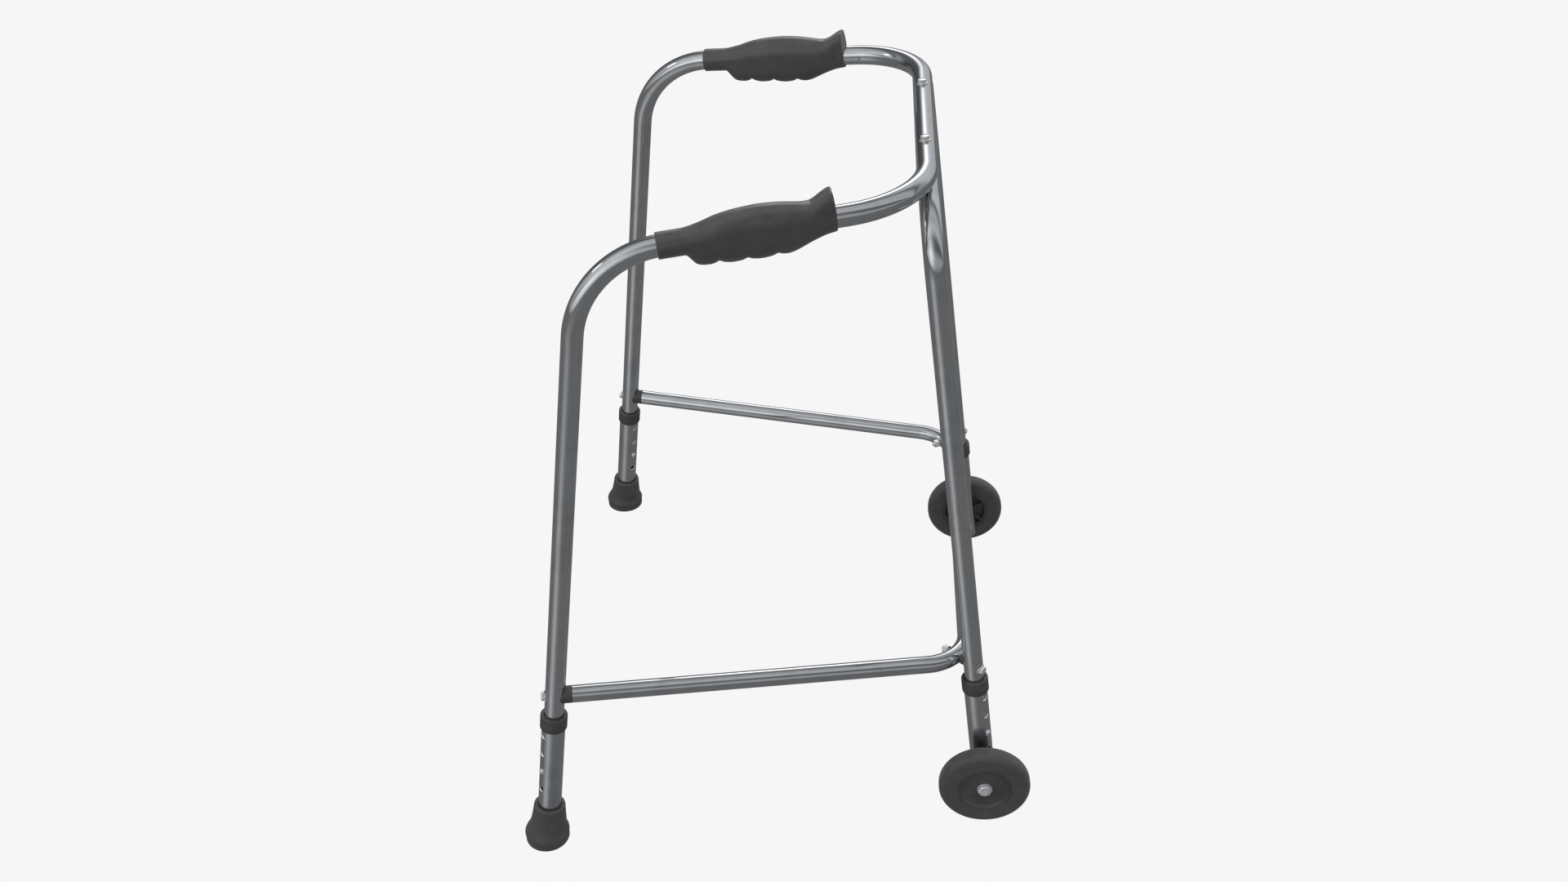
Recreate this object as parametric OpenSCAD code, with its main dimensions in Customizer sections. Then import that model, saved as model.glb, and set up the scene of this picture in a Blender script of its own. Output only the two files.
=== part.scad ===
// Walking frame: bent-tube frame with moulded hand grips, height-adjustable
// leg extensions, two rubber feet at the rear and two fixed wheels at the front.
// Units: mm. +X forward, +Y to the user's left, +Z up. The floor is z = 0 and
// the origin is at the floor, in the middle of the frame's plan box.
// The left half is modelled and mirrored about the XZ plane.

/* [Tubes] */
// Outside diameter of the handle tube and the front leg tube
tube_d = 25; // [20:0.5:32]
// Wall thickness of the main tubes
tube_wall = 2; // [1:0.1:3]
// Outside diameter of the lower brace tube
brace_d = 22; // [16:0.5:28]
// Wall thickness of the lower brace tube
brace_wall = 1.6; // [1:0.1:3]
// Outside diameter of the leg extensions
ext_d = 30; // [24:0.5:38]
// Wall thickness of the leg extensions
ext_wall = 1.9; // [1:0.1:3]

/* [Frame shape] */
// Height of the front bar's centre line above the floor
front_bar_z = 860; // [720:1:960]
// Height of the handle's rear corner, where the tube turns down
rear_corner_z = 815; // [680:1:940]
// Plan distance from the rear floor point to the handle's rear corner
rear_lean = 85.5; // [40:1:140]
// Half spacing of the rear legs at the floor
rear_half = 371.5; // [260:1:420]
// Half spacing of the handles at the rear corner
handle_half = 293; // [200:1:340]
// Half spacing of the handles at the front corner
front_half = 226; // [160:1:300]
// Distance from the rear floor point to the front bar
front_bar_x = 461; // [380:0.5:560]
// Centre-line radius of the rear handle bends
rear_bend_r = 116; // [70:1:160]
// Centre-line radius of the front handle bends
front_bend_r = 106; // [50:1:130]

/* [Front legs] */
// Forward rake of the front leg frame, degrees
front_rake = 8; // [2:0.5:14]
// Half spacing of the front legs at the floor
leg_half_floor = 280; // [220:1:340]
// Half spacing of the front legs at the crossbar
leg_half_top = 229; // [180:1:300]
// Centre-line radius of the front leg frame's bends
leg_bend_r = 70; // [40:1:120]

/* [Lower brace] */
// Height of the brace's centre line
brace_z = 232; // [180:1:300]
// Distance from the rear floor point to the brace's crossbar
brace_x = 542; // [480:0.5:600]
// Half spacing of the brace at its front corner
brace_half = 259; // [200:0.5:320]
// Centre-line radius of the brace's bends
brace_bend_r = 62; // [30:1:80]
// Length of the visible part of the plastic end caps
brace_cap_len = 9; // [4:0.5:20]

/* [Height adjustment] */
// Distance between adjustment holes
hole_pitch = 29; // [20:0.5:35]
// Diameter of the adjustment holes
hole_d = 7; // [5:0.1:10]
// Height of the snap button's centre along the rear leg
rear_button_s = 118; // [80:1:160]
// Height of the snap button's centre along the front leg
front_button_s = 130.5; // [90:0.5:170]
// Length along the rear leg to the collar's top
rear_collar_s = 205; // [160:1:230]
// Length along the front leg to the collar's top
front_collar_s = 216; // [170:1:240]
// Collar height
collar_h = 21; // [12:0.5:35]
// Collar outside diameter
collar_d = 34.5; // [32:0.5:42]

/* [Feet] */
// Foot height
foot_h = 57; // [40:1:80]
// Foot diameter at the rim
foot_d = 58; // [44:0.5:70]

/* [Wheels] */
// Wheel diameter
wheel_d = 120; // [90:1:150]
// Tyre width
tyre_w = 25; // [16:0.5:32]
// Distance from the centre plane to the tyre's inner face
wheel_in_y = 293.8; // [280:0.1:330]
// Axle bolt diameter
axle_d = 10; // [6:0.5:12]

/* [Grips] */
// Grip length
grip_len = 195; // [120:1:220]
// Distance from the rear handle corner to the grip's rear end
grip_start = 87; // [60:1:120]
// Grip width across the palm swell
grip_w = 38; // [32:0.5:46]

/* [Fasteners] */
// Thread diameter of the frame bolts
bolt_d = 6; // [4:0.5:8]
// Half spacing of the two bolts through the front bar
top_bolt_y = 87.5; // [40:0.5:110]
// Diameter of the curved washers
washer_d = 14; // [10:0.5:18]
// Thickness of the curved washers
washer_t = 1.2; // [0.8:0.1:2.5]
// Height of the bolt heads
head_h = 3; // [2:0.5:6]

/* [Hidden] */
$fn = 64;
tube_r = tube_d / 2;
bore_r = tube_r - tube_wall;
brace_r = brace_d / 2;
brace_bore_r = brace_r - brace_wall;
ext_r = ext_d / 2;
ext_bore_r = ext_r - ext_wall;
wheel_r = wheel_d / 2;
foot_r = foot_d / 2;
bolt_hole_d = bolt_d + 0.5;
head_seat = tube_r + washer_t + 0.3;
seam = 0.01;
seam_reach = 0.6;
wall_inset = 0.4;

// Corners of the left half's centre lines: rear floor point, rear corner, front corner
rear_floor = [0, rear_half, 0];
rear_corner = [rear_lean, handle_half, rear_corner_z];
front_corner = [front_bar_x, front_half, front_bar_z];
handle_len = norm(rear_corner - front_corner);
rear_leg_len = norm(rear_floor - rear_corner);
handle_dir = (rear_corner - front_corner) / handle_len;
leg_dir = (rear_floor - rear_corner) / rear_leg_len;
handle_splay = atan2(handle_half - front_half, front_bar_x - rear_lean);
handle_slope = asin(-handle_dir[2]);

// Each bend turns from its heading towards the next one, after a roll about the heading
front_roll = atan2(handle_dir[2], -handle_dir[0]);
front_bend_a = acos(handle_dir[1]);
front_side = [-cos(front_roll), 0, sin(front_roll)];
handle_x = cos(front_bend_a) * front_side - [0, sin(front_bend_a), 0];
handle_y = [sin(front_roll), 0, cos(front_roll)];
rear_roll = atan2(leg_dir * handle_y, leg_dir * handle_x);
rear_bend_a = acos(leg_dir * handle_dir);
front_tangent = front_bend_r * tan(front_bend_a / 2);
rear_tangent = rear_bend_r * tan(rear_bend_a / 2);
rear_az = atan2(-leg_dir[1], -leg_dir[0]);
rear_tilt = acos(rear_corner_z / rear_leg_len);
rear_tube_end = rear_button_s - 20;

bar_gap = tube_d + 0.4;
slant = front_bar_z / cos(front_rake) - bar_gap;
leg_splay = atan2(leg_half_floor - leg_half_top, slant);
front_leg_len = norm([leg_half_floor - leg_half_top, slant]);
leg_bend_a = 90 - leg_splay;
leg_tangent = leg_bend_r * tan(leg_bend_a / 2);
front_foot_x = front_bar_x + front_bar_z * tan(front_rake);
front_tube_end = front_button_s - 20;
front_ext_end = 32;
foot_floor = 9;
collar_lip = 4;

rear_joint_x = rear_lean * brace_z / rear_corner_z;
rear_joint_y = rear_half - (rear_half - handle_half) * brace_z / rear_corner_z;
brace_splay = atan2(rear_joint_y - brace_half, brace_x - rear_joint_x);
brace_bend_a = 90 - brace_splay;
brace_tangent = brace_bend_r * tan(brace_bend_a / 2);
brace_mid_y = brace_half - brace_tangent;
brace_side_len = norm([brace_x - rear_joint_x, rear_joint_y - brace_half]);
cap_end = tube_r + brace_cap_len;
arc_x = brace_x - brace_bend_r;
front_joint_x = front_foot_x - brace_z * tan(front_rake);
front_joint_y = leg_half_floor - brace_z / cos(front_rake) * tan(leg_splay);
bolt_az = atan2(front_joint_y - brace_mid_y, front_joint_x - arc_x);
joint_r = norm([front_joint_x - arc_x, front_joint_y - brace_mid_y]);

axle_x = front_foot_x - wheel_r * tan(front_rake);
axle_leg_y = leg_half_floor - wheel_r / cos(front_rake) * tan(leg_splay);
hub_in_y = wheel_in_y + 7.5;
hub_out_y = wheel_in_y + tyre_w - 4;
hub_r = 35.5;
plan_mid = (axle_x + wheel_r - foot_r) / 2;

metal = [0.62, 0.63, 0.65];
zinc = [0.78, 0.79, 0.80];
dark = [0.17, 0.17, 0.18];
rubber = [0.13, 0.13, 0.13];

// Placement frames. side is 1 for left and -1 for right.
module placed(side = 1) {
    if (side > 0)
        translate([-plan_mid, 0, 0]) children();
    else
        mirror([0, 1, 0]) translate([-plan_mid, 0, 0]) children();
}

module both() {
    placed(1) children();
    placed(-1) children();
}

// Origin on the floor, Z up the rear leg's axis
module rear_leg() {
    translate([0, rear_half, 0])
        rotate([0, 0, rear_az])
            rotate([0, rear_tilt, 0])
                rotate([0, 0, -rear_az])
                    children();
}

// Origin on the floor, Z up the front leg's axis
module front_leg() {
    translate([front_foot_x, leg_half_floor, 0])
        rotate([0, -front_rake, 0])
            rotate([leg_splay, 0, 0])
                children();
}

// Origin on the rear leg's axis at brace height, Z forward along the brace
module rear_joint() {
    translate([rear_joint_x, rear_joint_y, brace_z])
        rotate([0, 0, -brace_splay])
            rotate([0, 90, 0])
                children();
}

// Origin at the centre of the brace's bend, Z outward through the front leg
module front_joint() {
    translate([arc_x, brace_mid_y, brace_z])
        rotate([0, 0, bolt_az])
            rotate([0, 90, 0])
                children();
}

// Origin on the front bar's axis, Z up the front leg frame's plane
module front_plane() {
    translate([front_bar_x, 0, front_bar_z])
        rotate([0, -front_rake, 0])
            children();
}

// Origin on the wheel axis at the centre plane, Z outward
module axle_line() {
    translate([axle_x, 0, wheel_r])
        rotate([-90, 0, 0])
            children();
}

// Tube pieces. Each starts at the origin heading +Z; a bend turns towards +X.
module annulus(outer, inner) {
    difference() {
        circle(r = outer);
        circle(r = inner);
    }
}

// Straight piece, short of each end by the seam allowance
module straight(outer, inner, len) {
    translate([0, 0, seam])
        linear_extrude(height = len - 2 * seam)
            annulus(outer, inner);
    translate([0, 0, len]) children();
}

// Short ring inside the wall that joins a bend to the straight piece next to it
module seam_ring(outer, inner) {
    translate([0, 0, -seam_reach])
        linear_extrude(height = 2 * seam_reach)
            annulus(outer - wall_inset, inner + wall_inset);
}

module after_bend(radius, angle) {
    translate([radius, 0, 0])
        rotate([0, angle, 0])
            translate([-radius, 0, 0])
                children();
}

module bend(outer, inner, radius, angle) {
    seam_ring(outer, inner);
    translate([radius, 0, 0])
        rotate([0, 0, 180])
            rotate([90, 0, 0])
                rotate_extrude(angle = angle)
                    translate([radius, 0]) annulus(outer, inner);
    after_bend(radius, angle) {
        seam_ring(outer, inner);
        children();
    }
}

// Turns +Z to +Y and +X to -X, so a path starts outward from the centre plane
module outward() {
    rotate([0, 0, 180])
        rotate([90, 0, 0])
            children();
}

// A crossbar's straight middle, centred on the origin along Y
module middle_bar(outer, inner, half) {
    translate([0, half, 0])
        rotate([90, 0, 0])
            straight(outer, inner, 2 * half);
}

module handle_half_tube() {
    translate([front_bar_x, front_half - front_tangent, front_bar_z])
        outward() rotate([0, 0, front_roll])
            bend(tube_r, bore_r, front_bend_r, front_bend_a)
                straight(tube_r, bore_r, handle_len - front_tangent - rear_tangent)
                    rotate([0, 0, rear_roll])
                        bend(tube_r, bore_r, rear_bend_r, rear_bend_a)
                            straight(tube_r, bore_r, rear_leg_len - rear_tangent - rear_tube_end);
}

module leg_half_tube() {
    translate([0, leg_half_top - leg_tangent, 0])
        rotate([0, 90, 0])
            rotate([-90, 0, 0])
                bend(tube_r, bore_r, leg_bend_r, leg_bend_a)
                    straight(tube_r, bore_r, front_leg_len - leg_tangent - front_tube_end);
}

module brace_half_tube() {
    translate([brace_x, brace_mid_y, brace_z])
        outward()
            bend(brace_r, brace_bore_r, brace_bend_r, brace_bend_a)
                straight(brace_r, brace_bore_r, brace_side_len - brace_tangent - cap_end);
}

// Diagonal hole across a leg, at a length s up the leg
module cross_hole(s, d, az, reach) {
    translate([0, 0, s])
        rotate([0, 0, az])
            rotate([0, 90, 0])
                translate([0, 0, -reach]) cylinder(h = 2 * reach, d = d);
}

module top_bolt_places() {
    for (y = [-top_bolt_y, top_bolt_y])
        front_plane() translate([0, y, 0]) children();
}

module rear_bolt_hole() {
    rear_joint() translate([0, 0, -25]) cylinder(h = 50, d = bolt_hole_d);
}

module front_bolt_hole() {
    front_joint() translate([0, 0, 20]) cylinder(h = 110, d = bolt_hole_d);
}

module handle_frame() {
    color(metal) placed()
        difference() {
            union() {
                translate([front_bar_x, 0, front_bar_z])
                    middle_bar(tube_r, bore_r, front_half - front_tangent);
                handle_half_tube();
                mirror([0, 1, 0]) handle_half_tube();
            }
            top_bolt_places() translate([0, 0, -20]) cylinder(h = 40, d = bolt_hole_d);
            for (m = [0, 1]) mirror([0, m, 0]) {
                rear_bolt_hole();
                rear_leg() cross_hole(rear_button_s, hole_d, 135, 20);
            }
        }
}

module front_leg_frame() {
    color(metal) placed()
        difference() {
            front_plane() translate([0, 0, -bar_gap]) union() {
                middle_bar(tube_r, bore_r, leg_half_top - leg_tangent);
                leg_half_tube();
                mirror([0, 1, 0]) leg_half_tube();
            }
            top_bolt_places() translate([0, 0, -bar_gap - 20]) cylinder(h = 34, d = bolt_hole_d);
            for (m = [0, 1]) mirror([0, m, 0]) {
                front_bolt_hole();
                front_leg() cross_hole(front_button_s, hole_d, 45, 20);
            }
        }
}

module lower_brace() {
    color(metal) placed()
        difference() {
            union() {
                translate([brace_x, 0, brace_z])
                    middle_bar(brace_r, brace_bore_r, brace_mid_y);
                brace_half_tube();
                mirror([0, 1, 0]) brace_half_tube();
            }
            for (m = [0, 1]) mirror([0, m, 0]) front_bolt_hole();
        }
}

// Height-adjustable leg extensions. One hole is below the button and two are above it.
module adjustment_holes(button_s, az) {
    for (k = [-1:2]) cross_hole(button_s + k * hole_pitch, hole_d, az, 20);
}

module extension_tube(bottom, top) {
    difference() {
        translate([0, 0, bottom]) cylinder(h = top - bottom, r = ext_r);
        translate([0, 0, bottom - 1]) cylinder(h = top - bottom + 2, r = ext_bore_r);
    }
}

module extension_rear(side) {
    color(metal) placed(side)
        rear_leg() difference() {
            extension_tube(foot_floor, rear_collar_s - collar_lip);
            adjustment_holes(rear_button_s, 135);
        }
}

module extension_front(side) {
    color(metal) placed(side)
        difference() {
            front_leg() difference() {
                extension_tube(front_ext_end, front_collar_s - collar_lip);
                adjustment_holes(front_button_s, 45);
            }
            axle_line() translate([0, 0, axle_leg_y - 25]) cylinder(h = 50, d = axle_d + 0.4);
        }
}

module collar_at(s) {
    difference() {
        union() {
            translate([0, 0, s - collar_h + 1.5]) cylinder(h = collar_h - 2.3, d = collar_d);
            translate([0, 0, s - 0.8]) cylinder(h = 0.8, d1 = collar_d, d2 = collar_d - 1.6);
            translate([0, 0, s - collar_h]) cylinder(h = 1.5, d1 = collar_d - 2, d2 = collar_d);
        }
        translate([0, 0, s - collar_h - 1]) cylinder(h = collar_h - collar_lip + 1.05, r = ext_r + 0.05);
        translate([0, 0, s - 6]) cylinder(h = 8, r = tube_r + 0.15);
    }
}

module collar_rear(side) {
    color(dark) placed(side) rear_leg() collar_at(rear_collar_s);
}

module collar_front(side) {
    color(dark) placed(side) front_leg() collar_at(front_collar_s);
}

// Flared rubber foot with two grooves round its base and a ringed tread
module foot(side) {
    color(rubber) placed(side)
        difference() {
            union() {
                translate([0, rear_half, 0]) rotate_extrude()
                    polygon([
                        [0, 0], [foot_r - 1.5, 0], [foot_r - 0.8, 0.8], [foot_r - 0.8, 5],
                        [foot_r - 1.6, 5.8], [foot_r - 0.4, 6.6], [foot_r - 0.4, 9.4],
                        [foot_r - 1.2, 10.2], [foot_r, 11], [foot_r, 15], [foot_r - 3, 20],
                        [foot_r - 6, 26], [0, 26]
                    ]);
                rear_leg() translate([0, 0, 16])
                    cylinder(h = foot_h - 16 - 1.5, r1 = 24, r2 = 20.6);
                rear_leg() translate([0, 0, foot_h - 1.5])
                    cylinder(h = 1.5, r1 = 20.6, r2 = 19.2);
            }
            rear_leg() translate([0, 0, foot_floor - 0.05]) cylinder(h = foot_h, r = ext_r + 0.05);
            for (r = [10, 17])
                translate([0, rear_half, -1]) difference() {
                    cylinder(h = 3, r = r + 2);
                    translate([0, 0, -1]) cylinder(h = 5, r = r);
                }
        }
}

// Wheels
module tyre(side) {
    shoulder = 9;
    color(rubber) placed(side)
        axle_line() translate([0, 0, wheel_in_y])
            rotate_extrude($fn = 128)
                difference() {
                    union() {
                        translate([hub_r, 0]) square([wheel_r - shoulder - hub_r, tyre_w]);
                        translate([hub_r, shoulder]) square([wheel_r - hub_r, tyre_w - 2 * shoulder]);
                        translate([wheel_r - shoulder, shoulder]) circle(r = shoulder);
                        translate([wheel_r - shoulder, tyre_w - shoulder]) circle(r = shoulder);
                    }
                    translate([hub_r - 1, -1]) square([5, 2.5]);
                    translate([hub_r - 1, tyre_w - 1.2]) square([4, 3]);
                }
}

module hub(side) {
    web_in = 10;
    ribs = 6;
    color(dark) placed(side)
        axle_line() difference() {
            translate([0, 0, wheel_in_y + 2]) cylinder(h = tyre_w - 4, r = hub_r - 0.05, $fn = 128);
            translate([0, 0, wheel_in_y + 1]) difference() {
                cylinder(h = web_in - 1, r = hub_r - 3);
                translate([0, 0, 6.5]) cylinder(h = web_in, r = 13);
                for (k = [0:ribs - 1]) rotate([0, 0, k * 360 / ribs])
                    translate([11, -1.5, 6.5]) cube([25, 3, web_in]);
            }
            translate([0, 0, hub_out_y]) cylinder(h = 10, r = hub_r - 4);
            translate([0, 0, wheel_in_y]) cylinder(h = 40, r = 7);
        }
}

module bush(side) {
    color(zinc) placed(side)
        axle_line() translate([0, 0, hub_in_y - 0.2]) difference() {
            cylinder(h = hub_out_y - hub_in_y + 0.4, r = 7);
            translate([0, 0, -1]) cylinder(h = 40, d = axle_d + 0.1);
        }
}

module axle_bolt(side) {
    head_z = hub_out_y + 2;
    color(zinc) placed(side)
        axle_line() difference() {
            union() {
                translate([0, 0, axle_leg_y - 27]) cylinder(h = head_z - axle_leg_y + 27, d = axle_d);
                translate([0, 0, head_z]) cylinder(h = 3, d = 18);
                translate([0, 0, head_z + 3]) cylinder(h = 1.6, d1 = 18, d2 = 13);
            }
            translate([0, 0, head_z + 1]) rotate([0, 0, 30]) cylinder(h = 6, d = 8.6, $fn = 6);
        }
}

module axle_washer(side) {
    color(zinc) placed(side)
        axle_line() translate([0, 0, hub_out_y + 0.4]) difference() {
            cylinder(h = 1.5, d = 20);
            translate([0, 0, -1]) cylinder(h = 4, d = axle_d + 0.3);
        }
}

module axle_spacer(side) {
    color(zinc) placed(side)
        difference() {
            axle_line() translate([0, 0, axle_leg_y]) cylinder(h = hub_in_y - axle_leg_y - 0.4, d = 16);
            axle_line() translate([0, 0, axle_leg_y - 1]) cylinder(h = 40, d = axle_d + 0.3);
            front_leg() cylinder(h = 120, r = ext_r + 0.05);
        }
}

module axle_nut(side) {
    color(zinc) placed(side)
        difference() {
            union() {
                axle_line() translate([0, 0, axle_leg_y - 25.5]) cylinder(h = 9, d = 19.6, $fn = 6);
                axle_line() translate([0, 0, axle_leg_y - 16.5]) cylinder(h = 6, d = 16);
            }
            axle_line() translate([0, 0, axle_leg_y - 40]) cylinder(h = 60, d = axle_d + 0.02);
            front_leg() cylinder(h = 120, r = ext_r + 0.05);
        }
}

module end_plug(side) {
    color(dark) placed(side)
        front_leg() difference() {
            union() {
                translate([0, 0, front_ext_end - 4]) cylinder(h = 3.95, r = ext_r);
                translate([0, 0, front_ext_end - 1]) cylinder(h = 12, r = ext_bore_r - 0.1);
            }
            translate([0, 0, front_ext_end + 2]) cylinder(h = 12, r = ext_bore_r - 2.5);
        }
}

// Snap clips: a U-shaped strip spring inside each leg, with a button each side
module snap_spring_at(s, az) {
    strip_x = bore_r - 1.7;
    strip_w = 7.2;
    arm = 42;
    translate([0, 0, s]) rotate([0, 0, az]) {
        for (d = [-1, 1])
            translate([d * strip_x - 0.4, -strip_w / 2, -7]) cube([0.8, strip_w, arm + 7]);
        translate([0, 0, arm]) intersection() {
            rotate([90, 0, 0]) translate([0, 0, -strip_w / 2]) difference() {
                cylinder(h = strip_w, r = strip_x + 0.4);
                translate([0, 0, -1]) cylinder(h = strip_w + 2, r = strip_x - 0.4);
            }
            translate([-20, -20, 0]) cube([40, 40, 40]);
        }
    }
}

module snap_buttons_at(s, az) {
    base = bore_r - 1.3;
    tip = ext_r + 3;
    crown = 5;
    translate([0, 0, s]) rotate([0, 0, az])
        for (turn = [0, 180]) rotate([0, 0, turn]) rotate([0, 90, 0]) {
            translate([0, 0, base]) intersection() {
                cylinder(h = tip - base, d = hole_d - 0.5);
                translate([0, 0, tip - base - crown]) sphere(r = crown);
            }
            translate([0, 0, base]) cylinder(h = tip - base - crown + 1, d = hole_d - 0.5);
        }
}

module snap_spring_rear(side) {
    color(zinc) placed(side) rear_leg() snap_spring_at(rear_button_s, 135);
}

module snap_spring_front(side) {
    color(zinc) placed(side) front_leg() snap_spring_at(front_button_s, 45);
}

module snap_buttons_rear(side) {
    color(zinc) placed(side) rear_leg() snap_buttons_at(rear_button_s, 135);
}

module snap_buttons_front(side) {
    color(zinc) placed(side) front_leg() snap_buttons_at(front_button_s, 45);
}

// Fasteners
module hex_bolt(len, head_d = 11.5) {
    cylinder(h = len, d = bolt_d);
    translate([0, 0, -head_h]) cylinder(h = head_h, d = head_d, $fn = 6);
}

module brace_caps() {
    color(dark) both()
        difference() {
            rear_joint() union() {
                cylinder(h = cap_end, r = brace_r);
                cylinder(h = cap_end + 24, r = brace_bore_r - 0.1);
            }
            rear_leg() cylinder(h = 400, r = tube_r + 0.05);
            rear_joint() cylinder(h = cap_end + 10, d = bolt_hole_d);
            rear_joint() translate([0, 0, cap_end + 4]) cylinder(h = 30, d = 10);
        }
}

module brace_inserts() {
    color(zinc) both()
        rear_joint() translate([0, 0, cap_end + 4.2]) difference() {
            cylinder(h = 16, d = 9.8);
            translate([0, 0, -1]) cylinder(h = 20, d = bolt_d + 0.1);
        }
}

module brace_rear_bolts() {
    color(zinc) both()
        rear_joint() translate([0, 0, -head_seat - 0.1]) hex_bolt(head_seat + cap_end + 18);
}

module brace_rear_washers() {
    color(zinc) both()
        difference() {
            union() {
                intersection() {
                    rear_joint() mirror([0, 0, 1]) cylinder(h = head_seat, d = washer_d);
                    rear_leg() cylinder(h = 400, r = tube_r + washer_t);
                }
                rear_joint() mirror([0, 0, 1]) cylinder(h = head_seat, d = 10.5);
            }
            rear_joint() translate([0, 0, -30]) cylinder(h = 40, d = bolt_hole_d);
            rear_leg() cylinder(h = 400, r = tube_r + 0.02);
        }
}

module brace_front_bolts() {
    top = joint_r + head_seat + 0.1;
    bottom = brace_bend_r - brace_r - 10;
    color(zinc) both()
        front_joint() translate([0, 0, top]) mirror([0, 0, 1]) hex_bolt(top - bottom);
}

module brace_front_washers() {
    color(zinc) both()
        difference() {
            union() {
                intersection() {
                    front_joint() translate([0, 0, joint_r]) cylinder(h = head_seat, d = washer_d);
                    front_leg() cylinder(h = 400, r = tube_r + washer_t);
                }
                front_joint() translate([0, 0, joint_r]) cylinder(h = head_seat, d = 10.5);
            }
            front_joint() translate([0, 0, joint_r - 1]) cylinder(h = 40, d = bolt_hole_d);
            front_leg() cylinder(h = 400, r = tube_r + 0.02);
        }
}

module brace_front_nuts() {
    color(zinc) both()
        front_joint() translate([0, 0, brace_bend_r - brace_r - 7.5]) difference() {
            union() {
                cylinder(h = 5.5, d = 11.5, $fn = 6);
                translate([0, 0, 5.5]) cylinder(h = 1, d = 12);
            }
            translate([0, 0, -1]) cylinder(h = 10, d = bolt_d + 0.02);
        }
}

module brace_spacers() {
    color(dark) both()
        difference() {
            front_joint() translate([0, 0, brace_bend_r + brace_r - 3])
                cylinder(h = joint_r - brace_bend_r - brace_r, d = 13);
            front_joint() translate([0, 0, brace_bend_r]) cylinder(h = 40, d = bolt_hole_d);
            front_leg() cylinder(h = 400, r = tube_r + 0.05);
            translate([arc_x, brace_mid_y, brace_z]) rotate_extrude()
                translate([brace_bend_r, 0]) circle(r = brace_r + 0.05);
        }
}

module top_bolts() {
    color(zinc) placed()
        top_bolt_places() translate([0, 0, head_seat + 0.1]) mirror([0, 0, 1])
            hex_bolt(tube_r * 2 + bar_gap + 13);
}

module top_washers() {
    color(zinc) placed()
        difference() {
            union() {
                intersection() {
                    top_bolt_places() cylinder(h = head_seat, d = washer_d);
                    translate([front_bar_x, 200, front_bar_z]) rotate([90, 0, 0])
                        cylinder(h = 400, r = tube_r + washer_t);
                }
                top_bolt_places() cylinder(h = head_seat, d = 10.5);
            }
            top_bolt_places() translate([0, 0, -1]) cylinder(h = 60, d = bolt_hole_d);
            translate([front_bar_x, 200, front_bar_z]) rotate([90, 0, 0]) cylinder(h = 400, r = tube_r + 0.02);
        }
}

module top_nuts() {
    color(zinc) placed()
        difference() {
            top_bolt_places() translate([0, 0, -bar_gap - tube_r - 6.2])
                cylinder(h = 6, d = 11.5, $fn = 6);
            top_bolt_places() translate([0, 0, -bar_gap - tube_r - 20])
                cylinder(h = 30, d = bolt_d + 0.02);
        }
}

// Hand grips. Local X runs forward along the handle from the grip's rear end.
function smooth(t) = t <= 0 ? 0 : t >= 1 ? 1 : t * t * (3 - 2 * t);
sleeve_r = tube_r + 2.4;
// Height above the tube's centre line
function grip_top(x) =
    x < 28 ? sleeve_r
    : x < 112 ? sleeve_r + (28.5 - sleeve_r) * smooth((x - 28) / 84)
    : x < 166 ? 28.5 - 6 * smooth((x - 112) / 54)
    : 22.5 + 11.5 * smooth((x - 166) / 27);
// Depth below the tube's centre line
lobe_ends = [32, 64, 95, 128, 157];
function lobe(x, k) =
    27.5 + 4.5 * sin(180 * (x - lobe_ends[k]) / (lobe_ends[k + 1] - lobe_ends[k]));
function grip_bottom(x) =
    x < 27 ? sleeve_r
    : x < 40 ? sleeve_r + (lobe(40, 0) - sleeve_r) * smooth((x - 27) / 13)
    : x < 64 ? lobe(x, 0)
    : x < 95 ? lobe(x, 1)
    : x < 128 ? lobe(x, 2)
    : x < 145 ? lobe(x, 3)
    : lobe(145, 3) + (16.5 - lobe(145, 3)) * smooth((x - 145) / 42);

module grip(side) {
    steps = 78;
    step = grip_len / steps;
    color(dark) placed(side)
        translate(rear_corner)
            rotate([0, -handle_slope, -handle_splay])
                translate([grip_start, 0, 0]) difference() {
                    union() {
                        rotate([0, 90, 0]) cylinder(h = grip_len, r = sleeve_r);
                        intersection() {
                            rotate([90, 0, 0]) translate([0, 0, -grip_w / 2])
                                linear_extrude(height = grip_w)
                                    polygon(concat(
                                        [for (k = [0:steps]) [k * step, grip_top(k * step)]],
                                        [for (k = [steps:-1:0]) [k * step, -grip_bottom(k * step)]]
                                    ));
                            union() {
                                translate([0, 0, 9]) rotate([0, 90, 0]) cylinder(h = grip_len, r = grip_w / 2);
                                translate([0, -grip_w / 2, -12]) cube([grip_len, grip_w, 21]);
                                translate([0, 0, -12]) rotate([0, 90, 0]) cylinder(h = grip_len, r = grip_w / 2);
                                translate([160, -9, 9]) cube([grip_len - 160, 18, 30]);
                            }
                        }
                    }
                    translate([-1, 0, 0]) rotate([0, 90, 0]) cylinder(h = grip_len + 2, r = tube_r + 0.15);
                }
}

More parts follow.
